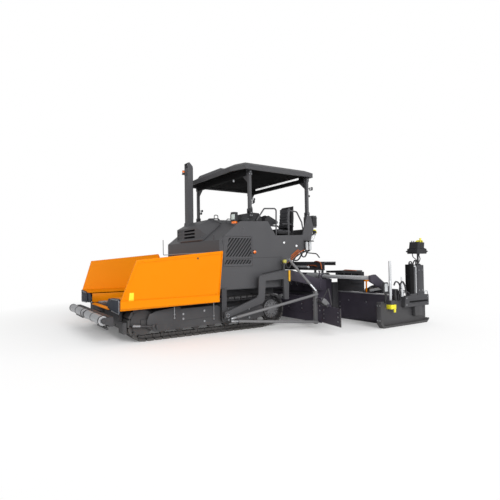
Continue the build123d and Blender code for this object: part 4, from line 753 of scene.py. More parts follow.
# %% [markdown]
# The hopper's front sill is a bent orange plate, the frame's side plates are orange inside, and
# a fixed rubber tongue carries each apron on inwards. The push rollers below touch the truck's
# tyres: a bright, worn sleeve turns between darker collars.

# %% Front sill and push rollers
sill = Shape()
sill.plate(((3.205, 0.572), (3.255, 0.590), (3.322, 0.566), (3.322, 0.554), (3.255, 0.578), (3.205, 0.560)),
           "y", -0.620, 0.620)
for low, high in ((0.8535, 0.8575), (-0.8575, -0.8535)):
    sill.plate(rectangle(1.150, 0.575, 3.250, 0.772), "y", low, high)
sill.piece("hopper_sill", orange_enamel, "tractor", "hopper_paint", bevel=0.002)
tongue = Shape()
tongue.plate(((0.557, 0.669), (0.661, 0.592), (0.930, 0.572), (0.930, 0.798), (0.704, 0.788)), "x", 3.329,
             3.343)
tongue.mirrored().piece("hopper_tongues", belt_rubber, "tractor", "apron_rubber", bevel=0.002)

ROLLER_AXIS = (3.600, 0.440)
ROLLER_R = 0.085
for name, side in SIDES:
    collars = Shape()
    for low, high in ((0.098, 0.150), (0.610, 0.640), (1.145, 1.197)):
        collars.turned((ROLLER_AXIS[0], low, ROLLER_AXIS[1]), OUT,
                       ((0, ROLLER_R + 0.001), (0.004, ROLLER_R + 0.005),
                        (high - low - 0.004, ROLLER_R + 0.005), (high - low, ROLLER_R + 0.001)), 40)
    collars.piece(f"roller_collars_{name}", forged_steel, f"push_roller_{name}", "steel", bevel=0,
                  side=side)
axle_caps = Shape()
for y in (0.062, 1.236):
    axle_caps.turned((ROLLER_AXIS[0], y, ROLLER_AXIS[1]), OUT, ((0, 0.036), (0.014, 0.036),
                                                                (0.018, 0.030)), 6)
for y in (0.560, 1.050):
    axle_caps.block((3.500, y, 0.352), (3.512, y + 0.090, 0.478))
axle_caps.bar((3.520, 0.600, 0.290), (3.520, 1.190, 0.290), 0.022, 16)
for y in (0.640, 1.120):
    axle_caps.block((3.508, y, 0.290), (3.532, y + 0.024, 0.360))
axle_caps.mirrored().piece("beam_caps", frame_paint, "push_beam", "frame_paint")
beam_bolts = []
for z in (0.372, 0.462):
    beam_bolts += row((3.502, 0.200, z), (3.502, 0.520, z), 4, AHEAD)
for y in (0.580, 1.070):
    beam_bolts += row((3.513, y, 0.372), (3.513, y + 0.050, 0.372), 2, AHEAD)
bolts("beam_bolts", both_sides(beam_bolts), tube_steel, "push_beam", 0.013, 0.014)

# %% [markdown]
# Under the wings the side of the undercarriage shows. A guard plate is bolted over the rollers,
# a tie tube runs forward past the idler, and thin grease lines stand on the guard. The drive
# hub is a stepped casting with a circle of bolts.

# %% Undercarriage
GUARD_FACE = 1.220
lines = Shape()
for x, low, high in ((2.190, 0.380, 0.598), (1.278, 0.285, 0.640)):
    lines.bar((x, GUARD_FACE + 0.012, low), (x, GUARD_FACE + 0.012, high), 0.0065, 10)
    lines.turned((x, GUARD_FACE + 0.012, low - 0.018), UP, ((0, 0.010), (0.008, 0.019), (0.026, 0.019),
                                                                   (0.036, 0.009)), 14)
    lines.block((x - 0.014, GUARD_FACE - 0.004, low + 0.060), (x + 0.014, GUARD_FACE + 0.020, low + 0.078))
lines.bar((2.920, GUARD_FACE + 0.029, 0.289), (3.062, GUARD_FACE + 0.034, 0.306), 0.026, 20)
lines.turned((3.062, GUARD_FACE + 0.034, 0.306), (0.36, 0.014, 0.044), ((-0.03, 0.030), (0.010, 0.030),
                                                                        (0.014, 0.022)), 20)
lines.mirrored().piece("guard_tubes", tube_steel, "tractor", "steel", bevel=0)
holders = Shape()
holders.bar((2.640, GUARD_FACE + 0.020, 0.255), (2.922, GUARD_FACE + 0.029, 0.289), 0.020, 16)
for x, z in ((2.560, 0.245), (2.640, 0.255)):
    holders.block((x, GUARD_FACE - 0.004, z - 0.034), (x + 0.034, GUARD_FACE + 0.052, z + 0.040))
holders.plate(((1.340, 0.330), (2.260, 0.286), (2.260, 0.298), (1.340, 0.342)), "y", GUARD_FACE - 0.002,
              GUARD_FACE + 0.006)
holders.plate(((2.050, 0.600), (2.395, 0.562), (2.584, 0.537), (2.718, 0.491), (2.770, 0.373),
               (2.761, 0.241), (2.640, 0.165), (2.505, 0.140), (2.050, 0.176)), "y", GUARD_FACE + 0.001,
              GUARD_FACE + 0.010)
holders.mirrored().piece("guard_holders", frame_paint, "tractor", "frame_paint")
guard_bolts = [((x, GUARD_FACE, z), OUT) for x, z in ((1.988, 0.440), (1.988, 0.345), (2.552, 0.330),
                                                      (2.530, 0.215), (2.420, 0.380), (1.500, 0.470),
                                                      (1.500, 0.260), (0.900, 0.470), (0.900, 0.230),
                                                      (0.350, 0.430), (0.350, 0.240), (2.300, 0.200))]
bolts("guard_bolts", both_sides(guard_bolts), tube_steel, "tractor", 0.016, 0.014)

HUB_FACE = 1.240
hub = Shape()
hub.turned((SPROCKET[0], HUB_FACE - 0.002, SPROCKET[1]), OUT,
           ((0, 0.203), (0.006, 0.203), (0.010, 0.198), (0.010, 0.166), (0.004, 0.160), (0.004, 0.153)), 56)
hub.turned((SPROCKET[0], HUB_FACE + 0.017, SPROCKET[1]), OUT,
           ((0, 0.148), (0.003, 0.142), (0.003, 0.096), (0.007, 0.090), (0.007, 0.0)), 56)
hub.mirrored().piece("hub_cover", brace_grey, "tractor", "frame_paint", bevel=0, smooth=30)
hub_bolts = ring((SPROCKET[0], HUB_FACE + 0.010, SPROCKET[1]), OUT, 0.182, 20)
hub_bolts += ring((SPROCKET[0], HUB_FACE + 0.022, SPROCKET[1]), OUT, 0.120, 8, 0.3)
bolts("hub_bolts", both_sides(hub_bolts), forged_steel, "tractor", 0.012, 0.016)

teeth = Shape()
TOOTH_COUNT = 11
for number in range(TOOTH_COUNT):
    turn_at = 2 * pi * number / TOOTH_COUNT
    outline = [(SPROCKET[0] + r * cos(turn_at + a), SPROCKET[1] + r * sin(turn_at + a))
               for r, a in ((0.225, -0.17), (0.262, -0.07), (0.262, 0.07), (0.225, 0.17))]
    teeth.plate(outline, "y", 1.092, 1.138)
teeth.mirrored().piece("sprocket_teeth", forged_steel, "tractor", "steel")

# %% [markdown]
# The big side panel carries small things that set its scale: an amber side marker, two round
# lamps, a pressed dimple and the trim round the grille door. The long place behind the grille
# is bare paint.

# %% Side panel
PANEL = 1.250
trim = Shape()
trim.turned((0.537, PANEL - 0.001, 2.155), OUT, ((0, 0.066), (0.004, 0.062), (0.005, 0.052),
                                                 (0.0015, 0.046), (0.0015, 0.0)), 32)
trim.plate(rectangle(-0.560, 0.884, 1.128, 0.906), "y", PANEL - 0.002, PANEL + 0.006)
trim.mirrored().piece("panel_trim", grey_enamel, "tractor", "body_paint", bevel=0, smooth=30)
seams_and_shadow = Shape()
# The first strip is a dark sheet just above the tow arm's top edge: painted shadow, standing in for the
# shaded gap between the panel and the arm.
seams_and_shadow.plate(((-0.012, 1.196), (-0.592, 1.284), (-0.592, 1.270), (-0.012, 1.182)), "y", PANEL - 0.002,
            PANEL + 0.002)
seams_and_shadow.plate(((0.256, 1.542), (-0.600, 1.560), (-0.600, 1.566), (0.256, 1.548)), "y", PANEL - 0.002,
            PANEL + 0.0012)
seams_and_shadow.block((0.172, PANEL - 0.002, 1.632), (0.244, PANEL + 0.010, 1.716))
seams_and_shadow.mirrored().piece("panel_seams", moulded_plastic, "tractor", "body_paint", bevel=0)
marker = Shape()
marker.turned((0.208, PANEL + 0.009, 1.675), OUT, ((0, 0.036), (0.016, 0.034), (0.024, 0.022),
                                                   (0.026, 0.0)), 24)
marker.mirrored().piece("side_marker", amber_lens, "tractor", "console_plastic", bevel=0)
lamp = Shape()
for x, z in ((-0.669, 1.895), (-1.058, 1.822)):
    lamp.turned((x, PANEL - 0.002, z), OUT, ((0, 0.026), (0.012, 0.026), (0.018, 0.018), (0.020, 0.0)), 20)
lamp.mirrored().piece("step_lamps", clear_lens, "tractor", "chrome_rod", bevel=0)
panel_bolts = [((0.157, PANEL, 1.097), OUT), ((-0.780, PANEL, 1.640), OUT), ((-0.930, PANEL, 2.010), OUT)]
panel_bolts += row((1.090, PANEL, 1.020), (1.090, PANEL, 1.860), 5, OUT)
panel_bolts += row((-1.300, PANEL, 2.150), (-1.500, PANEL, 2.480), 3, OUT)
bolts("panel_bolts", both_sides(panel_bolts), grey_enamel, "tractor", 0.011, 0.010)

for name, side in SIDES:
    door = Shape()
    door.plate(rectangle(0.276, 1.532, 1.024, 1.553), "y", PANEL - 0.001, PANEL + 0.010)
    door.plate(rectangle(0.276, 1.553, 0.290, 2.000), "y", PANEL - 0.001, PANEL + 0.006)
    door.block((0.278, PANEL - 0.001, 1.640), (0.300, PANEL + 0.016, 1.700))
    door.piece(f"door_trim_{name}", grey_enamel, f"grille_door_{name}", "body_paint", side=side)
    # A dark block set behind the grille is painted shade: it stands in for the shade inside, seen through
    # the slots.
    grille_shade = Shape()
    grille_shade.block((0.285, PANEL - 0.036, 1.400), (1.012, PANEL - 0.031, 1.985))
    grille_shade.piece(f"door_screen_{name}", moulded_plastic, f"grille_door_{name}", "console_plastic",
                    bevel=0, side=side)

# %% [markdown]
# The hood falls forward in a slope with a raised middle. Hoop handles, two thin rods, a seal
# strip over the hopper and the round work lamp on the left shoulder are added here. The lamp
# is a grey lens in a black shell that is open to the front, on an amber foot.

# %% Hood fittings
HOOD_FALL = 0.415 / 0.540


def hood_z(x):
    """Height of the hood's sloped surface in front of its knee."""
    return 2.345 - (x - 0.590) * HOOD_FALL if x > 0.590 else 2.345 + (0.590 - x) * 0.035 / 0.780


seal = Shape()
seal.block((1.126, -1.215, 1.655), (1.146, 1.215, 1.678))
seal.piece("front_seal", tube_steel, "tractor", "steel", bevel=0.004)
hoops = Shape()
hoops.tube(((0.852, -0.900, hood_z(0.852) - 0.01), (0.800, -0.900, 2.495), (0.725, -0.900, 2.495),
            (0.702, -0.900, hood_z(0.702) - 0.01)), 0.011, 12, 0.03)
hoops.tube(((0.150, -0.500, 2.480), (0.135, -0.500, 2.690), (0.030, -0.500, 2.690),
            (0.010, -0.500, 2.480)), 0.011, 12, 0.03)
hoops.tube(((0.520, 0.640, hood_z(0.520) - 0.01), (0.520, 0.640, 2.458), (-0.060, 0.640, 2.462),
            (-0.060, 0.640, 2.366)), 0.011, 12, 0.04)
hoops.tube(((1.140, -1.246, 1.660), (1.140, -1.500, 1.660), (1.140, -1.530, 1.690),
            (1.140, -1.535, 2.070)), 0.009, 10, 0.02)
hoops.bar((1.110, 1.000, 1.900), (1.110, 1.000, 2.050), 0.008, 10)
hoops.piece("hood_hoops", frame_paint, "tractor", "steel", bevel=0)

BEACON = (0.655, 1.130)
drum = Shape()
drum.turned((*BEACON, 2.352), UP, ((0, 0.070), (0.004, 0.0775), (0.030, 0.0775), (0.034, 0.0765)), 36)
drum.turned((*BEACON, 2.500), UP, ((0, 0.0765), (0.004, 0.0785), (0.042, 0.0785), (0.050, 0.070),
                                   (0.052, 0.0)), 36)
shell = [(BEACON[0] + radius * cos(radians(turn)), BEACON[1] + radius * sin(radians(turn)))
         for radius, turns in ((0.0782, range(62, 283, 10)), (0.074, range(282, 61, -10)))
         for turn in turns]
drum.plate(shell, "z", 2.380, 2.504)
drum.block((BEACON[0] + 0.064, BEACON[1] - 0.046, 2.380), (BEACON[0] + 0.075, BEACON[1] - 0.026, 2.504))
drum.piece("work_lamp_drum", moulded_plastic, "tractor", "console_plastic", bevel=0, smooth=30)
lens = Shape()
lens.turned((*BEACON, 2.382), UP, ((0, 0.0758), (0.004, 0.0764), (0.116, 0.0764), (0.120, 0.0758)), 48)
lens.piece("work_lamp_lens", grey_lens, "tractor", "chrome_rod", bevel=0, smooth=30)
foot = Shape()
foot.turned((*BEACON, 2.298), UP, ((0, 0.060), (0.004, 0.066), (0.044, 0.066), (0.054, 0.058)), 32)
foot.piece("work_lamp_foot", amber_lens, "tractor", "hopper_paint", bevel=0, smooth=30)

# %% [markdown]
# The stack's lamp and the lamps on the canopy posts are round cans with a lens. They are
# turned forms, closed at the back, and each lens is a separate shallow dome.

# %% Stack and post lamps
STACK_LAMP = (0.935, -0.700)
amber = Shape()
amber.turned((*STACK_LAMP, 3.758), UP, ((0, 0.0315), (0.050, 0.0315), (0.064, 0.024), (0.070, 0.0)), 28)
amber.piece("stack_lamp", amber_lens, "tractor", "hopper_paint", bevel=0)
foot = Shape()
foot.turned((*STACK_LAMP, 3.716), UP, ((0, 0.024), (0.010, 0.0325), (0.044, 0.0325), (0.046, 0.030)), 28)
foot.plate(rectangle(0.704, 2.560, 0.712, 3.900), "y", -0.794, -0.606)
foot.piece("stack_fittings", moulded_plastic, "tractor", "console_plastic", bevel=0)
POST_Y = 1.150
BOXED_RADIUS = 0.032
POST_LAMPS = (
    # body, x of the can's middle, z, radius
    ("canopy_posts_front", 0.125, 2.870, 0.030),
    ("canopy_posts_front", 0.154, 2.800, 0.030),
    ("canopy_posts_rear", -1.675, 3.255, 0.036),
    ("canopy_posts_rear", -1.600, 3.070, 0.024),
)
for number, (body, x, z, radius) in enumerate(POST_LAMPS, 1):
    can = Shape()
    can.turned((x - 0.023, POST_Y, z), AHEAD, ((0, radius * 0.6), (0.004, radius + 0.002),
                                               (0.044, radius + 0.002), (0.047, radius * 0.8)), 24)
    if radius > BOXED_RADIUS:
        can.block((x - 0.030, POST_Y - 0.038, z - 0.038), (x + 0.018, POST_Y + 0.038, z + 0.038))
    can.mirrored().piece(f"post_lamp_{number}", moulded_plastic, body, "console_plastic", bevel=0.002)
    face = Shape()
    face.turned((x + 0.017, POST_Y, z), AHEAD, ((0, radius), (0.006, radius), (0.011, radius * 0.7),
                                                (0.013, 0.0)), 24)
    face.mirrored().piece(f"post_lens_{number}", clear_lens, body, "chrome_rod", bevel=0)

# %% [markdown]
# The canopy is a moulded roof on two steel beams. Its underside is a black ribbed lining, with a
# light strip along the rear beam and a small round lamp on the front one. The ribs are one bar
# repeated by the row tree.

# %% Canopy lining
lining = Shape()
lining.block((-1.585, -1.235, 3.560), (0.395, 1.235, 3.578))
lining.plate(((0.395, 3.560), (0.540, 3.545), (0.540, 3.552), (0.395, 3.578)), "y", -0.900, 0.900)
lining.piece("roof_lining", lining_black, "canopy_roof", "roof_plastic", bevel=0)
rib = Shape()
rib.block((-1.560, -1.228, 3.548), (-1.535, 1.228, 3.562))
rib = rib.piece("lining_ribs", lining_black, "canopy_roof", "roof_plastic", bevel=0.002)
repeated(rib, 32, (0.061, 0.0, 0.0), lining_black)
covers = Shape()
for low, high in ((-1.580, -1.470), (0.185, 0.295)):
    covers.block((low, -1.100, 3.420), (high, 1.100, 3.424))
    covers.block((low + 0.002, -1.100, 3.424), (low + 0.0045, 1.100, 3.545))
    covers.block((high - 0.0045, -1.100, 3.424), (high - 0.002, 1.100, 3.545))
covers.piece("beam_covers", lining_black, "canopy_roof", "roof_plastic", bevel=0)
strip = Shape()
strip.block((-1.474, -0.770, 3.500), (-1.462, 0.940, 3.545))
strip.piece("light_strip", lamp_white, "canopy_roof", "chrome_rod", bevel=0.002)
dome = Shape()
dome.turned((0.240, 0.542, 3.420), (0, 0, -1), ((0, 0.022), (0.050, 0.022), (0.062, 0.016), (0.066, 0.0)),
            24)
dome.piece("roof_lamp", tube_steel, "canopy_roof", "chrome_rod", bevel=0)
roof_bolts = []
for x in (0.240, -1.525):
    roof_bolts += [((x + a, 1.198, 3.450 + b), OUT) for a, b in ((-0.028, -0.022), (0.028, -0.022),
                                                                 (0.0, 0.028))]
bolts("roof_bolts", both_sides(roof_bolts), tube_steel, "canopy_roof", 0.010, 0.010)

# %% [markdown]
# Behind the hood the operator has a dash with knobs, side cowls whose recesses are flat dark plates of
# painted shade, a light rail along the platform's edge and three bolts on each post foot.

# %% Operator's place
dash = Shape()
dash.plate(((-0.190, 2.350), (-0.190, 2.440), (-0.300, 2.520), (-0.560, 2.405), (-0.575, 2.360),
            (-0.540, 2.330), (-0.360, 2.300), (-0.330, 1.905), (-0.215, 1.905)), "y", 0.520, 1.160)
dash.turned((-0.400, 0.700, 2.460), (-0.35, 0, 0.94), ((0, 0.016), (0.060, 0.012), (0.064, 0.024),
                                                       (0.086, 0.028), (0.100, 0.018), (0.103, 0.0)), 18)
dash.turned((-0.430, 0.980, 2.450), (-0.35, 0, 0.94), ((0, 0.020), (0.030, 0.018), (0.034, 0.030),
                                                       (0.050, 0.030), (0.053, 0.0)), 18)
dash.tube(((-0.330, 0.850, 2.500), (-0.480, 0.850, 2.560), (-0.480, 0.760, 2.560),
           (-0.480, 0.690, 2.545)), 0.010, 10, 0.03)
dash.mirrored().piece("operator_dash", moulded_plastic, "tractor", "console_plastic", bevel=0.006)
dials = Shape()
dials.plate(((-0.325, 2.512), (-0.470, 2.448), (-0.468, 2.444), (-0.323, 2.508)), "y", 0.590, 0.940)
dials.mirrored().piece("dash_panel", dark_glass, "tractor", "console_plastic", bevel=0.001)
recess_shade = Shape()
# These flat dark plates on the cowls are painted shade, standing in for the shade inside the recesses.
recess_shade.plate(((0.492, 2.376), (0.440, 2.425), (0.300, 2.428), (0.300, 2.372)), "y", 1.176, 1.1825)
recess_shade.plate(((0.205, 2.380), (0.205, 2.430), (0.060, 2.430), (0.030, 2.380)), "y", 1.176, 1.1825)
recess_shade.mirrored().piece("cowl_recess", dark_glass, "tractor", "console_plastic", bevel=0.002)
rails = Shape()
rails.tube(((-0.500, 1.225, 1.935), (-0.540, 1.238, 1.985), (-1.240, 1.238, 2.000),
            (-1.280, 1.225, 1.950)), 0.010, 10, 0.05)
rails.mirrored().piece("platform_rail", tube_steel, "tractor", "steel", bevel=0)
foot_bolts = []
for x, z in ((0.240, 2.500), (-1.525, 2.570)):
    foot_bolts += [((x + a, 1.199, z + b), OUT) for a, b in ((-0.026, 0.0), (0.026, 0.0), (0.0, 0.060))]
bolts("post_foot_bolts", both_sides(foot_bolts), tube_steel, "tractor", 0.010, 0.010)
tread = Shape()
tread.block((-0.300, -1.150, 1.899), (-0.280, 1.150, 1.904))
tread = tread.piece("deck_treads", worked_steel, "tractor", "steel", bevel=0)
repeated(tread, 19, (-0.055, 0.0, 0.0), worked_steel)

# %% [markdown]
# Under the platform, at the machine's rear corner, hang the filters and the hoses that feed the
# screed: bright cans, a loom of orange and red hoses along the panel's edge and black loops
# below. The short hoses are clamped at both ends, so they are made as bent tubes.

# %% Rear corner
box = Shape()
box.block((-1.847, 1.034, 2.330), (-1.702, 1.166, 2.560))
box.block((-1.852, 1.029, 2.520), (-1.697, 1.171, 2.540))
box.tube(((-1.770, 1.100, 2.292), (-1.770, 1.100, 2.200), (-1.820, 1.100, 2.150), (-1.860, 1.100, 2.110)),
         0.016, 10, 0.04)
box.turned((-1.830, 1.100, 2.145), UP, ((0, 0.030), (0.006, 0.042), (0.070, 0.042), (0.078, 0.030)), 20)
box.tube(((-1.550, 1.130, 2.090), (-1.640, 1.130, 2.090), (-1.760, 1.110, 2.120), (-1.820, 1.100, 2.160)),
         0.020, 10, 0.05)
box.mirrored().piece("rear_box_trim", moulded_plastic, "tractor", "console_plastic", bevel=0.002)
cap = Shape()
cap.turned((-1.830, 1.100, 2.218), UP, ((0, 0.034), (0.012, 0.040), (0.024, 0.036), (0.030, 0.020),
                                        (0.034, 0.0)), 20)
cap.block((-1.882, 1.070, 2.150), (-1.868, 1.130, 2.200))
cap.mirrored().piece("rear_yellow_cap", yellow_paint, "tractor", "hopper_paint", bevel=0.002)
cans = Shape()
for x, y, low, high in ((-1.345, 1.302, 1.715, 1.910), (-1.450, 1.302, 1.720, 1.915),
                        (-1.640, 1.010, 1.740, 1.915)):
    cans.turned((x, y, low), UP, ((0, 0.022), (0.012, 0.036), (high - low - 0.020, 0.036),
                                  (high - low - 0.012, 0.040), (high - low, 0.040)), 24)
    cans.block((x - 0.010, y - 0.010, high - 0.004), (x + 0.010, y + 0.010, high + 0.030))
cans.tube(((-1.500, 1.140, 1.750), (-1.520, 1.140, 1.700), (-1.600, 1.130, 1.700),
           (-1.640, 1.100, 1.760)), 0.012, 10, 0.03)
cans.tube(((-1.620, 1.100, 1.960), (-1.720, 1.100, 2.000), (-1.780, 1.100, 2.080),
           (-1.790, 1.100, 2.160)), 0.007, 8, 0.04)
cans.tube(((-1.560, 1.140, 1.960), (-1.700, 1.140, 1.960), (-1.800, 1.130, 2.040),
           (-1.815, 1.120, 2.150)), 0.006, 8, 0.04)
cans.mirrored().piece("filter_cans", bright_tube, "tractor", "steel", bevel=0)
carrier = Shape()
carrier.block((-1.700, 0.960, 1.938), (-1.470, 1.200, 1.962))
carrier.block((-1.500, 1.246, 1.938), (-1.300, 1.345, 1.956))
carrier.block((-1.560, 1.160, 1.700), (-1.520, 1.210, 1.945))
carrier.mirrored().piece("filter_carrier", frame_paint, "tractor", "frame_paint")
loom = Shape()
for offset, radius in ((0.0, 0.013), (0.045, 0.011), (0.086, 0.014)):
    loom.tube(((-0.640, 1.150 - offset, 1.330 + offset), (-0.900, 1.275 - offset * 0.2, 1.510 + offset),
               (-1.060, 1.278 - offset * 0.2, 1.640 + offset * 0.9),
               (-1.460, 1.215 - offset, 1.775 + offset * 0.3), (-1.530, 1.150 - offset, 1.900)), radius,
              12, 0.10)
loom.mirrored().piece("hose_loom", woven_hose, "tractor", "hopper_paint", bevel=0)
loops = Shape()
loops.tube(((-0.880, 1.240, 1.475), (-0.960, 1.285, 1.540), (-1.100, 1.285, 1.620),
            (-1.440, 1.225, 1.720)), 0.018, 12, 0.10)
loops.tube(((-0.940, 1.200, 1.560), (-1.020, 1.200, 1.470), (-1.160, 1.200, 1.480), (-1.300, 1.190, 1.640),
            (-1.400, 1.180, 1.780)), 0.018, 12, 0.10)
loops.tube(((-0.760, 1.180, 1.430), (-0.800, 1.190, 1.300), (-0.860, 1.190, 1.290), (-0.980, 1.190, 1.420),
            (-1.180, 1.190, 1.690)), 0.018, 12, 0.08)
loops.tube(((-1.240, 1.195, 1.720), (-1.300, 1.195, 1.560), (-1.400, 1.190, 1.560),
            (-1.500, 1.180, 1.700)), 0.016, 12, 0.09)
loops.mirrored().piece("hose_loops", black_hose, "tractor", "console_plastic", bevel=0)

# %% [markdown]
# The side bracket carries the lift cylinder and the upper brace. A yellow knob sits by the
# brace's upper end, a yellow lock bar stands on the tow arm, and the braces end in bright
# adjusters.

# %% Braces and tow arm
BRACE_TOP = Vector((-0.600, 1.4756, 1.502))
BRACE_FOOT = Vector((-0.920, 1.950, 0.8126))
run = (BRACE_FOOT - BRACE_TOP).normalized()
grip = Shape()
grip.turned((-0.470, 1.448, 1.460), OUT, ((0, 0.022), (0.008, 0.042), (0.052, 0.042), (0.062, 0.030),
                                          (0.064, 0.0)), 20)
grip.mirrored().piece("brace_grip", knob_yellow, "tractor", "hopper_paint", bevel=0)
ends = Shape()
brace_skin = Shape()
brace_skin.bar(BRACE_TOP - run * 0.010, BRACE_FOOT - run * 0.180, 0.029, 20)
brace_skin.block((-0.600, 1.452, 1.462), (-0.470, 1.466, 1.500))
ends.turned(BRACE_FOOT - run * 0.170, run, ((0, 0.020), (0.006, 0.026), (0.190, 0.026), (0.198, 0.018)), 20)
FORK_TOP = Vector((1.020, 1.480, 0.292))
FORK_LOW = Vector((1.020, 1.480, 0.246))
upper = (Vector((-0.930, 2.011, 0.735)) - FORK_TOP).normalized()
lower = (Vector((-0.930, 2.011, 0.130)) - FORK_LOW).normalized()
ends.turned(FORK_TOP + upper * 0.002, upper, ((0, 0.019), (0.004, 0.025), (0.110, 0.025), (0.116, 0.020)),
            20)
ends.turned(FORK_LOW + lower * 0.002, lower, ((0, 0.019), (0.004, 0.025), (0.150, 0.025),
                                                                  (0.156, 0.020)), 20)
ends.mirrored().piece("brace_ends", tube_steel, "tractor", "steel", bevel=0)
brace_skin.bar(FORK_TOP + upper * 0.130, Vector((-0.900, 2.003, 0.728)), 0.030, 20)
brace_skin.bar(FORK_LOW + lower * 0.170, Vector((-0.900, 2.003, 0.132)), 0.030, 20)
brace_skin.block((-0.952, 1.915, 0.085), (-0.880, 1.985, 0.800))
brace_skin.mirrored().piece("brace_skins", brace_grey, "tractor", "frame_paint", bevel=0.003, smooth=30)
lock = Shape()
lock.bar((-0.630, 1.452, 1.010), (-0.630, 1.452, 1.255), 0.022, 16)
for z in (1.070, 1.215):
    lock.bar((-0.630, 1.428, z), (-0.630, 1.452, z), 0.010, 10)
lock.mirrored().piece("lift_lock", lock_yellow, "screed", "hopper_paint", bevel=0)
arm_bolts = ring((1.070, 1.446, 0.360), OUT, 0.036, 6)
bolts("tow_point_bolts", both_sides(arm_bolts), tube_steel, "tow_points", 0.008, 0.010)
arm_plates = Shape()
arm_plates.plate(((0.238, 0.742), (0.300, 0.690), (0.308, 0.700), (0.252, 0.750), (0.232, 1.130),
                  (0.218, 1.130)), "y", 1.429, 1.436)
arm_plates.plate(((0.220, 1.128), (-0.500, 1.238), (-0.716, 1.240), (-0.716, 1.256), (-0.500, 1.254),
                  (0.218, 1.146)), "y", 1.429, 1.436)
arm_plates.mirrored().piece("arm_edges", grey_enamel, "screed", "body_paint", bevel=0.002)

# %% [markdown]
# The tunnel plates hold the mix in front of the screed. Rows of bolts fix their wear plates, two
# ribs stiffen them, and folding links lie behind the upright bar.

# %% Tunnel plates
TUNNEL = -0.950
wear = Shape()
wear.plate(rectangle(0.930, 0.300, 2.060, 0.314), "x", TUNNEL - 0.002, TUNNEL + 0.006)
wear.plate(rectangle(0.905, 0.640, 2.078, 0.660), "x", TUNNEL - 0.002, TUNNEL + 0.010)
wear.mirrored().piece("tunnel_ribs", screed_paint, "tractor", "screed_paint", bevel=0.002)
plate_bolts = []
for y in (1.080, 1.500, 1.860, 2.040):
    plate_bolts += row((TUNNEL + 0.002, y, 0.380), (TUNNEL + 0.002, y, 0.580), 3, AHEAD)
along_plate = Vector((0.200, 0.680, 0.0)).normalized()
out = Vector((along_plate.y, -along_plate.x, 0.0))
for share in (0.10, 0.62):
    corner = Vector((TUNNEL, 2.080, 0.0)) + along_plate * share
    plate_bolts += [((corner.x, corner.y, z), tuple(out)) for z in (0.230, 0.320, 0.410)]
bolts("tunnel_bolts", both_sides(plate_bolts), tube_steel, "tractor", 0.013, 0.012)
links = Shape()
for low, high in (((-0.905, 2.010, 0.640), (-0.820, 2.300, 0.520)),
                  ((-0.935, 2.005, 0.560), (-0.790, 2.400, 0.505))):
    links.bar(low, high, 0.014, 12)
links.bar((-1.000, 2.030, 0.560), (-1.060, 2.190, 0.860), 0.013, 10)
links.bar((-1.060, 2.190, 0.860), (-0.980, 2.340, 0.520), 0.013, 10)
links.plate(rectangle(-0.752, 2.752, -0.742, 2.766), "z", 0.130, 0.500)
links.mirrored().piece("fold_links", forged_steel, "tractor", "steel", bevel=0)

# %% [markdown]
# The screed is a long box on a flat sole. Its guide tubes are bright where they run bare, a
# walkway lies over it, and valves and short hoses sit along its front. The treads are small
# raised bars, repeated by the row tree.

# %% Main screed
guides = Shape()
GUIDE_X = (-1.930, -2.120)
GUIDE_Z = 1.075
for x in GUIDE_X:
    guides.sleeve((x, 0.760, GUIDE_Z), 0.492, 0.0785, 0.0745)
guides.turned((-1.856, 0.360, 1.300), OUT, ((0, 0.022), (0.006, 0.034), (0.500, 0.034), (0.506, 0.026)), 20)
guides.mirrored().piece("guide_sleeves", bright_tube, "screed", "steel", bevel=0, smooth=30)
deck = Shape()
deck.block((-2.400, -1.250, 1.402), (-1.900, 1.250, 1.426))
deck.block((-2.404, -1.254, 1.340), (-2.392, 1.254, 1.434))
deck.block((-1.908, -1.340, 1.222), (-1.896, 1.340, 1.436))
for y in (-1.236, -1.000, -0.420, 0.400, 0.980, 1.216):
    deck.block((-1.984, y, 1.150), (-1.916, y + 0.020, 1.406))
for low, high in ((1.232, 1.300), (-1.300, -1.232)):
    deck.block((-2.427, low, 0.050), (-2.238, high, 0.915))
deck.block((-1.602, -1.245, 0.335), (-1.592, 1.245, 0.698))
deck.piece("screed_walkway", frame_paint, "screed", "screed_paint", bevel=0.004)
tread = Shape()
tread.block((-2.378, -1.230, 1.424), (-2.366, 1.230, 1.431))
tread = tread.piece("walkway_treads", worked_steel, "screed", "steel", bevel=0)
repeated(tread, 12, (0.040, 0.0, 0.0), worked_steel)
rail = Shape()
rail.tube(((-1.330, 1.285, 1.930), (-1.310, 1.300, 1.670), (-1.400, 1.302, 1.655), (-1.670, 1.302, 1.635),
           (-1.770, 1.302, 1.540)), 0.014, 12, 0.04)
rail.mirrored().piece("rear_pipe", moulded_plastic, "tractor", "console_plastic", bevel=0)
gear = Shape()
for y in (0.520, 0.720, 0.980):
    gear.block((-1.690, y, 0.900), (-1.600, y + 0.110, 0.985))
    gear.tube(((-1.600, y + 0.050, 0.950), (-1.520, y + 0.060, 0.965), (-1.490, y + 0.040, 0.900),
               (-1.540, y + 0.020, 0.840)), 0.013, 10, 0.05)
gear.mirrored().piece("screed_valves", frame_paint, "screed", "frame_paint", bevel=0.004)
pipes = Shape()
pipes.tube(((-1.905, 1.020, 1.440), (-1.870, 1.120, 1.450), (-1.872, 1.240, 1.420),
            (-1.876, 1.270, 1.250)), 0.014, 10, 0.06)
pipes.tube(((-1.884, 0.760, 1.330), (-1.870, 0.820, 1.345), (-1.870, 1.040, 1.345),
            (-1.884, 1.110, 1.320)), 0.012, 10, 0.03)
pipes.mirrored().piece("screed_pipes", woven_hose, "screed", "hopper_paint", bevel=0)
screed_bolts = row((-1.479, 0.060, 0.560), (-1.479, 1.200, 0.560), 7, AHEAD)
screed_bolts += row((-1.479, 0.060, 0.180), (-1.479, 1.200, 0.180), 7, AHEAD)
screed_bolts += row((-1.559, 0.520, 0.850), (-1.559, 1.180, 0.850), 4, AHEAD)
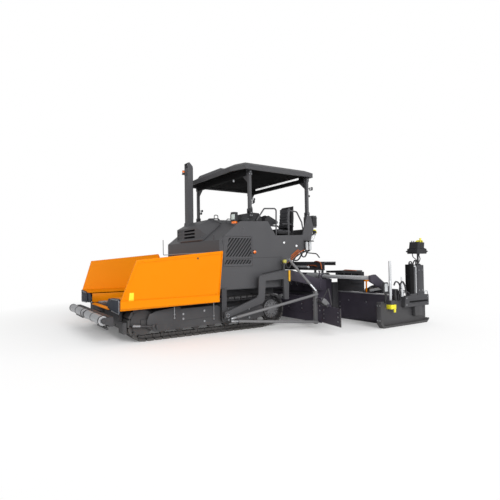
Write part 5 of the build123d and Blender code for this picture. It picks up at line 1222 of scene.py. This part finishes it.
screed_bolts += row((-2.251, 0.100, 0.900), (-2.251, 1.180, 0.900), 6, (-1, 0, 0))
bolts("screed_bolts", both_sides(screed_bolts), tube_steel, "screed", 0.012, 0.012)
arm_feet = Shape()
arm_feet.block((-1.838, 1.252, 0.955), (-1.602, 1.384, 0.975))
arm_feet.block((-1.700, 1.436, 0.800), (-1.600, 1.446, 0.960))
arm_feet.turned((-1.740, 1.320, 0.965), UP, ((0, 0.030), (0.150, 0.030), (0.158, 0.022), (0.160, 0.014),
                                             (0.230, 0.014), (0.234, 0.034), (0.250, 0.034),
                                             (0.256, 0.020)), 20)
arm_feet.plate(((-0.700, 1.252), (-1.500, 1.056), (-1.836, 0.996), (-1.836, 0.764), (-1.560, 0.764),
                (-1.384, 0.884), (-0.700, 1.028)), "y", 1.4305, 1.4345)
arm_feet.mirrored().piece("arm_feet", screed_paint, "screed", "screed_paint", bevel=0.003)

# %% [markdown]
# An extension slides out of the main screed on a bright tube, so all of this rides on it: a
# tapered walkway with its brackets, an orange end box, a spreading cylinder and short hoses.

# %% Extensions
for (name, side), rod_x in zip(SIDES, GUIDE_X):
    body = f"extension_{name}"
    skin = Shape()
    skin.turned((rod_x, 1.262, GUIDE_Z), OUT, ((0, 0.0448), (0.002, 0.0451), (1.330, 0.0451),
                                               (1.332, 0.0448)), 40)
    skin.turned((-2.474, 2.180, 0.752), (0.0, 0.40, 0.085), ((0, 0.020), (0.010, 0.033), (0.420, 0.033),
                                                             (0.428, 0.024)), 20)
    skin.piece(f"extension_rod_{name}", bright_tube, body, "chrome_rod", bevel=0, side=side)
    strip = Shape()
    strip.block((-2.448, 1.254, 0.672), (-2.434, 2.736, 0.698))
    strip.block((-2.446, 1.254, 0.300), (-2.436, 1.272, 0.690))
    strip.piece(f"extension_edge_{name}", worked_steel, body, "steel", bevel=0.002, side=side)
    walk = Shape()
    walk.plate(((-2.024, 1.275), (-2.024, 2.296), (-2.360, 2.056), (-2.900, 1.660), (-2.900, 1.275)), "z",
               1.185, 1.208)
    walk.block((-2.036, 1.275, 1.162), (-2.024, 2.296, 1.214))
    walk.plate(((1.275, 1.060), (1.700, 1.060), (1.700, 0.920), (2.056, 0.920), (2.056, 1.200),
                (1.275, 1.200)), "x", -2.372, -2.360)
    for y in (1.290, 1.640):
        walk.block((-2.880, y, 0.700), (-2.440, y + 0.020, 1.190))
    walk.block((-2.446, 1.262, 0.702), (-2.436, 2.050, 1.190))
    walk.plate(((-2.500, 0.730), (-2.500, 0.790), (-2.880, 0.790), (-2.880, 0.730)), "y", 2.020, 2.620)
    walk.block((-2.620, 2.240, 0.780), (-2.480, 2.420, 0.860))
    walk.piece(f"extension_walkway_{name}", frame_paint, body, "screed_paint", bevel=0.004, side=side)
    # A thin dark disc on the walkway's bracket paints the shade seen in a bolt hole.
    hole_shade = Shape()
    hole_shade.turned((-2.361, 1.916, 1.110), AHEAD, ((0, 0.034), (0.003, 0.034), (0.003, 0.026),
                                                (0.0035, 0.0)), 20)
    hole_shade.piece(f"extension_hole_{name}", moulded_plastic, body, "console_plastic", bevel=0, side=side)
    tread = Shape()
    tread.block((-2.880, 1.290, 1.206), (-2.868, 1.650, 1.212))
    tread = tread.piece(f"extension_treads_{name}", worked_steel, body, "steel", bevel=0, side=side)
    repeated(tread, 20, (0.042, 0.0, 0.0), worked_steel)
    crate = Shape()
    crate.block((-2.500, 2.060, 0.960), (-2.420, 2.130, 1.095))
    crate.block((-2.480, 2.130, 0.980), (-2.440, 2.136, 1.075))
    crate.block((-2.470, 2.080, 0.700), (-2.450, 2.110, 0.965))
    crate.piece(f"extension_box_{name}", orange_enamel, body, "hopper_paint", bevel=0.008, side=side)
    hoses = Shape()
    hoses.tube(((-2.340, 1.540, 1.210), (-2.330, 1.600, 1.228), (-2.350, 1.900, 1.216),
                (-2.440, 1.985, 1.090)), 0.013, 10, 0.04)
    hoses.piece(f"extension_hose_{name}", woven_hose, body, "hopper_paint", bevel=0, side=side)
    pipes = Shape()
    pipes.tube(((-2.520, 2.050, 0.760), (-2.480, 2.200, 0.850), (-2.470, 2.420, 0.900),
                (-2.500, 2.620, 0.800), (-2.520, 2.680, 0.700)), 0.016, 10, 0.07)
    pipes.tube(((-2.560, 2.100, 0.770), (-2.560, 2.250, 0.880), (-2.560, 2.500, 0.860),
                (-2.560, 2.690, 0.730)), 0.014, 10, 0.07)
    pipes.piece(f"extension_pipes_{name}", black_hose, body, "console_plastic", bevel=0, side=side)
    places = [((-2.439, side * y, z), AHEAD) for y, z in ((1.600, 0.480), (1.330, 0.420), (2.100, 0.480),
                                                          (2.650, 0.500), (2.650, 0.250), (1.330, 0.300))]
    places += row((-2.359, side * 1.340, 1.130), (-2.359, side * 1.760, 1.130), 3, AHEAD)
    bolts(f"extension_bolts_{name}", places, tube_steel, body, 0.014, 0.012)

# %% [markdown]
# Each end gate holds the mix at the screed's end. On it stand two tall spring boxes with a bright
# strip between them, a plated mast in a yellow clamp, a gauge frame, and hoses. The console
# above has a yellow cap and side grips. The gates ride up and down, and their consoles too.

# %% End gates and consoles
GATE_IN = 2.748
GATE_OUT = 2.858
MAST = (-2.300, 2.808)
for name, side in SIDES:
    body = f"end_gate_{name}"
    clamp = Shape()
    clamp.block((-2.400, GATE_IN + 0.016, 0.395), (-2.215, GATE_OUT + 0.022, 0.490))
    clamp.turned((*MAST, 0.487), UP, ((0, 0.050), (0.004, 0.058), (0.062, 0.058), (0.070, 0.044)), 28)
    clamp.block((-2.390, GATE_OUT - 0.002, 0.318), (-2.330, GATE_OUT + 0.020, 0.400))
    clamp.turned((-2.390, 2.820, 0.485), UP, ((0, 0.012), (0.020, 0.012), (0.024, 0.030), (0.046, 0.030),
                                                    (0.052, 0.018)), 16)
    clamp.piece(f"mast_clamp_{name}", yellow_paint, body, "hopper_paint", bevel=0.006, side=side)
    mast = Shape()
    mast.turned((*MAST, 0.550), UP, ((0, 0.0262), (0.002, 0.0275), (0.470, 0.0275), (0.474, 0.0262)), 24)
    mast.turned((*MAST, 1.030), UP, ((0, 0.0256), (0.404, 0.0256), (0.409, 0.020), (0.410, 0.0)), 24)
    mast.tube([(x, MAST[1], z) for x, z in ((-2.335, 0.640), (-2.348, 0.700), (-2.345, 1.380),
                                            (-2.330, 1.410))], 0.006, 8, 0.03)
    for z in (1.000, 1.300):
        mast.block((-2.345, MAST[1] - 0.012, z), (-2.320, MAST[1] + 0.012, z + 0.012))
    mast.turned((-2.730, 2.800, 0.640), UP, ((0, 0.030), (0.010, 0.034), (0.280, 0.034), (0.300, 0.026),
                                             (0.306, 0.014), (0.440, 0.014), (0.444, 0.0)), 20)
    mast.block((-3.224, GATE_IN + 0.030, 0.640), (-3.206, GATE_OUT - 0.004, 1.300))
    mast.block((-3.188, GATE_OUT - 0.004, 0.700), (-3.116, GATE_OUT + 0.004, 1.330))
    mast.tube(((-3.520, 2.848, 0.660), (-3.560, 2.850, 0.735), (-3.640, 2.850, 0.735),
               (-3.665, 2.848, 0.655)), 0.012, 10, 0.03)
    mast.piece(f"mast_sleeve_{name}", bright_tube, body, "chrome_rod", bevel=0.001, side=side)
    gauge = Shape()
    gauge.plate(((-2.062, 0.740), (-2.252, 0.740), (-2.252, 0.955), (-2.232, 0.980), (-2.082, 0.980),
                 (-2.062, 0.955)), "y", 2.788, 2.800)
    gauge.block((-2.200, 2.786, 0.536), (-2.120, 2.802, 0.745))
    gauge.block((-2.640, 2.752, 0.560), (-2.600, 2.800, 0.780))
    gauge.turned((-2.670, 2.800, 0.560), UP, ((0, 0.022), (0.200, 0.022), (0.210, 0.012)), 14)
    gauge.turned((-2.480, 2.800, 0.560), UP, ((0, 0.040), (0.120, 0.040), (0.126, 0.030), (0.240, 0.030),
                                              (0.246, 0.018)), 18)
    gauge.piece(f"gauge_frame_{name}", moulded_plastic, body, "frame_paint", bevel=0.005, side=side)
    face = Shape()
    face.plate(((-2.120, 0.780), (-2.225, 0.780), (-2.225, 0.935), (-2.212, 0.952), (-2.132, 0.952),
                (-2.120, 0.938)), "y", 2.799, 2.804)
    face.piece(f"gauge_face_{name}", bright_tube, body, "steel", bevel=0.001, side=side)
    hoses = Shape()
    hoses.tube(((-2.610, 2.810, 0.700), (-2.640, 2.825, 0.930), (-2.720, 2.830, 0.990),
                (-2.800, 2.830, 0.900), (-2.860, 2.825, 0.670)), 0.017, 12, 0.08)
    hoses.tube(((-2.480, 2.780, 0.900), (-2.520, 2.790, 0.990), (-2.620, 2.800, 0.960),
                (-2.720, 2.800, 0.780), (-2.900, 2.820, 0.740), (-2.955, 2.830, 0.700)), 0.016, 12, 0.08)
    hoses.tube(((-3.180, 2.800, 1.352), (-3.200, 2.800, 1.400), (-3.250, 2.800, 1.450),
                (-3.290, 2.800, 1.440), (-3.300, 2.800, 1.345)), 0.014, 12, 0.05)
    hoses.tube(((-3.020, 2.800, 1.352), (-3.040, 2.800, 1.420), (-3.110, 2.810, 1.420),
                (-3.120, 2.815, 1.352)), 0.014, 12, 0.05)
    hoses.piece(f"gate_hoses_{name}", black_hose, body, "console_plastic", bevel=0, side=side)
    boxes = Shape()
    for rear, front, top in ((-3.200, -2.960, 1.350), (-3.500, -3.230, 1.340)):
        boxes.plate(rectangle(rear + 0.030, 0.700, front - 0.030, top - 0.050),
                    "y", GATE_OUT - 0.002, GATE_OUT + 0.006)
        boxes.block((rear - 0.006, GATE_IN + 0.006, 0.650), (front + 0.006, GATE_OUT + 0.008, 0.690))
        boxes.block((rear + 0.070, GATE_IN + 0.030, top - 0.004), (front - 0.070, GATE_OUT - 0.030,
                                                                   top + 0.030))
    boxes.plate(rectangle(-3.420, 0.180, -3.140, 0.400), "y", GATE_IN + 0.015, GATE_OUT - 0.006)
    for z in (0.460, 0.560):
        boxes.plate(rectangle(-2.900, z, -3.640, z + 0.014), "y", GATE_OUT - 0.002, GATE_OUT + 0.006)
    boxes.block((-1.912, GATE_IN + 0.010, 0.120), (-1.892, GATE_OUT - 0.006, 0.540))
    boxes.piece(f"gate_covers_{name}", frame_paint, body, "frame_paint", bevel=0.006, side=side)
    spring = Shape()
    spring.block((-3.105, GATE_IN + 0.001, 0.692), (-2.955, GATE_OUT + 0.008, 1.356))
    spring.block((-2.960, GATE_IN + 0.020, 0.900), (-2.935, GATE_OUT - 0.020, 1.050))
    spring.block((-3.640, GATE_OUT - 0.002, 0.490), (-2.920, GATE_OUT + 0.004, 0.530))
    spring.piece(f"spring_cover_{name}", lining_black, body, "console_plastic", bevel=0.006, side=side)
    places = [((x, side * (GATE_OUT + 0.006), z), (0, side, 0)) for x in (-3.300, -3.430)
              for z in (0.760, 1.220)]
    places += [((-1.890, side * (GATE_IN + y), z), AHEAD) for y in (0.030, 0.085) for z in (0.170, 0.490)]
    places += [((x, side * GATE_OUT, z), (0, side, 0)) for x in (-2.820, -3.650) for z in (0.450, 0.600)]
    bolts(f"gate_bolts_{name}", places, tube_steel, body, 0.012, 0.010)
    top = Shape()
    top.plate(((-3.455, 1.850), (-3.610, 1.840), (-3.630, 1.900), (-3.600, 1.925), (-3.520, 1.925),
               (-3.465, 1.895)), "y", 2.700, 2.790)
    top.turned((-3.590, 2.745, 1.922), (-0.1, 0, 1), ((0, 0.018), (0.024, 0.016), (0.028, 0.026),
                                                      (0.044, 0.026), (0.050, 0.014)), 16)
    top.piece(f"console_cap_{name}", yellow_paint, body, "hopper_paint", bevel=0.008, side=side)
    grips = Shape()
    for x in (-3.250, -3.652):
        grips.turned((x, 2.600, 1.655), OUT, ((0, 0.010), (0.006, 0.018), (0.270, 0.018), (0.276, 0.010)),
                     16)
        for y in (2.640, 2.820):
            grips.block((x - 0.014, y, 1.640), (x + 0.014, y + 0.020, 1.672))
    grips.block((-3.620, 2.634, 1.722), (-3.290, 2.846, 1.734))
    for x, y in ((-3.400, 2.650), (-3.480, 2.650), (-3.400, 2.830), (-3.500, 2.830)):
        grips.turned((x, y, 1.872), (-0.1, 0, 1), ((0, 0.008), (0.022, 0.007), (0.026, 0.014),
                                                   (0.036, 0.012), (0.040, 0.0)), 12)
    grips.tube(((-3.420, 2.790, 1.620), (-3.440, 2.800, 1.540), (-3.480, 2.800, 1.480),
                (-3.440, 2.795, 1.420), (-3.390, 2.795, 1.352)), 0.010, 10, 0.04)
    grips.tube(((-3.330, 2.700, 1.602), (-3.320, 2.720, 1.520), (-3.350, 2.780, 1.470),
                (-3.360, 2.800, 1.352)), 0.010, 10, 0.04)
    grips.turned((-3.500, 2.740, 1.560), UP, ((0, 0.020), (0.006, 0.030), (0.040, 0.030)), 16)
    grips.piece(f"console_grips_{name}", moulded_plastic, body, "console_plastic", bevel=0.003, side=side)

# %% [markdown]
# The seats are sprung, with a moulded shell and vinyl cushions. A cushion is a crowned pad whose
# sides pull in between its corners. Each starts as a closed box, is remeshed, and then blown up
# a little by a cloth simulation with no gravity, with its rows of channels pressed in afterwards.

# %% Cushion maker
SWELL_CAP = 0.020
CLOTH_FRAMES = 20
SIDE_PULL = 0.035
CHANNEL_HALF = 0.016
CHANNEL_DEEP = 0.012


def cushion(name, corners, thickness, channels, body):
    """A padded cushion between four corners, which run round it, thickness to each side."""
    a, b, c, d = [Vector(p) for p in corners]
    normal = (b - a).cross(d - a).normalized()
    centre = (a + b + c + d) / 4
    shape = Shape()
    steps = 10
    rings = []
    for level, inset in ((-1.0, 0.05), (-0.7, 0.0), (0.7, 0.0), (1.0, 0.05)):
        verts = []
        for first_corner, second in ((a, b), (b, c), (c, d), (d, a)):
            for step in range(steps):
                point = first_corner.lerp(second, step / steps)
                pull = SIDE_PULL * sin(pi * step / steps)
                point = point.lerp(centre, inset + pull)
                verts.append(shape.mesh.verts.new(point + normal * thickness * level))
        rings.append(verts)
    shape.capped(rings)
    thing = shape.piece(name, seat_vinyl, body, "seat_cover", bevel=0)
    remesh = thing.modifiers.new("even_skin", "REMESH")
    remesh.mode = "VOXEL"
    remesh.voxel_size = 0.006
    thing.data = evaluated(thing)
    thing.modifiers.clear()
    start = [v.co.copy() for v in thing.data.vertices]
    cloth = thing.modifiers.new("swell", "CLOTH")
    cloth.settings.use_pressure = True
    cloth.settings.uniform_pressure_force = 4.0
    cloth.settings.effector_weights.gravity = 0.0
    for number in range(1, CLOTH_FRAMES + 1):
        bpy.context.scene.frame_set(number)
    swollen = evaluated(thing)
    thing.modifiers.clear()
    bpy.context.scene.frame_set(1)
    for vert, before, after in zip(thing.data.vertices, start, swollen.vertices):
        step = after.co - before
        vert.co = before + step * min(1.0, SWELL_CAP / max(step.length, 1e-9))
    across = (c - b).normalized()
    long = (c - b).length
    for vert in thing.data.vertices:
        reach = (vert.co - b).dot(across) / long
        side = (vert.co - centre).dot(normal)
        if side > 0:
            press = max(0.0, 1 - min(abs(reach - place) for place in channels) * long / CHANNEL_HALF)
            vert.co -= normal * CHANNEL_DEEP * press
    finish = thing.modifiers.new("finish", "SUBSURF")
    finish.levels = 1
    finish.render_levels = 1
    thing.data = evaluated(thing)
    thing.modifiers.clear()
    thing.data.materials.clear()
    thing.data.materials.append(seat_vinyl)
    thing.data.shade_smooth()
    thing.data.name = name
    return thing


# %% Both seats
SEAT_Y = 0.850
seat = Shape()
seat.block((-1.020, SEAT_Y - 0.150, 2.060), (-0.760, SEAT_Y + 0.150, 2.082))
for number in range(5):
    inset = 0.004 if number % 2 else 0.018
    seat.block((-1.010 + inset, SEAT_Y - 0.140 + inset, 2.080 + number * 0.008),
               (-0.770 - inset, SEAT_Y + 0.140 - inset, 2.090 + number * 0.008))
seat.plate(((-1.120, 2.112), (-0.655, 2.112), (-0.622, 2.165), (-0.640, 2.180), (-1.110, 2.150)),
           "y", SEAT_Y - 0.228, SEAT_Y + 0.228)
seat.plate(((-1.150, 2.150), (-1.120, 2.150), (-1.125, 2.500), (-1.140, 2.780), (-1.178, 2.806),
            (-1.180, 2.500)), "y", SEAT_Y - 0.200, SEAT_Y + 0.200)
seat.block((-0.900, SEAT_Y - 0.262, 2.118), (-0.700, SEAT_Y - 0.230, 2.160))
seat.tube(((-0.640, SEAT_Y - 0.120, 2.120), (-0.600, SEAT_Y - 0.120, 2.112),
           (-0.600, SEAT_Y + 0.120, 2.112), (-0.640, SEAT_Y + 0.120, 2.120)), 0.009, 10, 0.03)
for at in (-0.245, 0.245):
    seat.tube(((-1.120, SEAT_Y + at, 2.300), (-1.060, SEAT_Y + at, 2.345), (-0.980, SEAT_Y + at, 2.345)),
              0.016, 12, 0.03)
seat.piece("seat_shell", moulded_plastic, "tractor", "console_plastic", bevel=0.006)
pads = [
    cushion("seat_cushion_left", ((-1.085, SEAT_Y + 0.205, 2.168), (-1.085, SEAT_Y - 0.205, 2.168),
                                  (-0.655, SEAT_Y - 0.205, 2.188), (-0.655, SEAT_Y + 0.205, 2.188)), 0.030,
            (0.30, 0.50, 0.70), "tractor"),
    cushion("seat_back_left", ((-1.040, SEAT_Y - 0.190, 2.230), (-1.040, SEAT_Y + 0.190, 2.230),
                               (-1.095, SEAT_Y + 0.175, 2.760), (-1.095, SEAT_Y - 0.175, 2.760)), 0.030,
            (0.16, 0.30, 0.44, 0.58, 0.76), "tractor"),
]
arms = Shape()
for at in (-0.245, 0.245):
    arms.plate(((-1.055, 2.330), (-0.760, 2.336), (-0.742, 2.350), (-0.756, 2.369), (-1.050, 2.369)),
               "y", SEAT_Y + at - 0.020, SEAT_Y + at + 0.020)
arms.piece("armrests_left", seat_vinyl, "tractor", "seat_cover", bevel=0.008)
shell = bpy.data.objects["seat_shell"]
flipped = bmesh.new()
flipped.from_mesh(shell.data)
bmesh.ops.reverse_faces(flipped, faces=add_mirrored(flipped))
flipped.to_mesh(shell.data)
flipped.free()
for name in ("seat_cushion_left", "seat_back_left", "armrests_left"):
    data = bpy.data.objects[name].data.copy()
    data.transform(Matrix.Scale(-1, 4, OUT))
    data.flip_normals()
    twin = new_object(name.replace("left", "right"), data)
    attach(twin, "tractor")
    if name != "armrests_left":
        pads.append(twin)
for pad in pads:
    print(pad.name, len(pad.data.polygons), "faces")
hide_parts("seats")
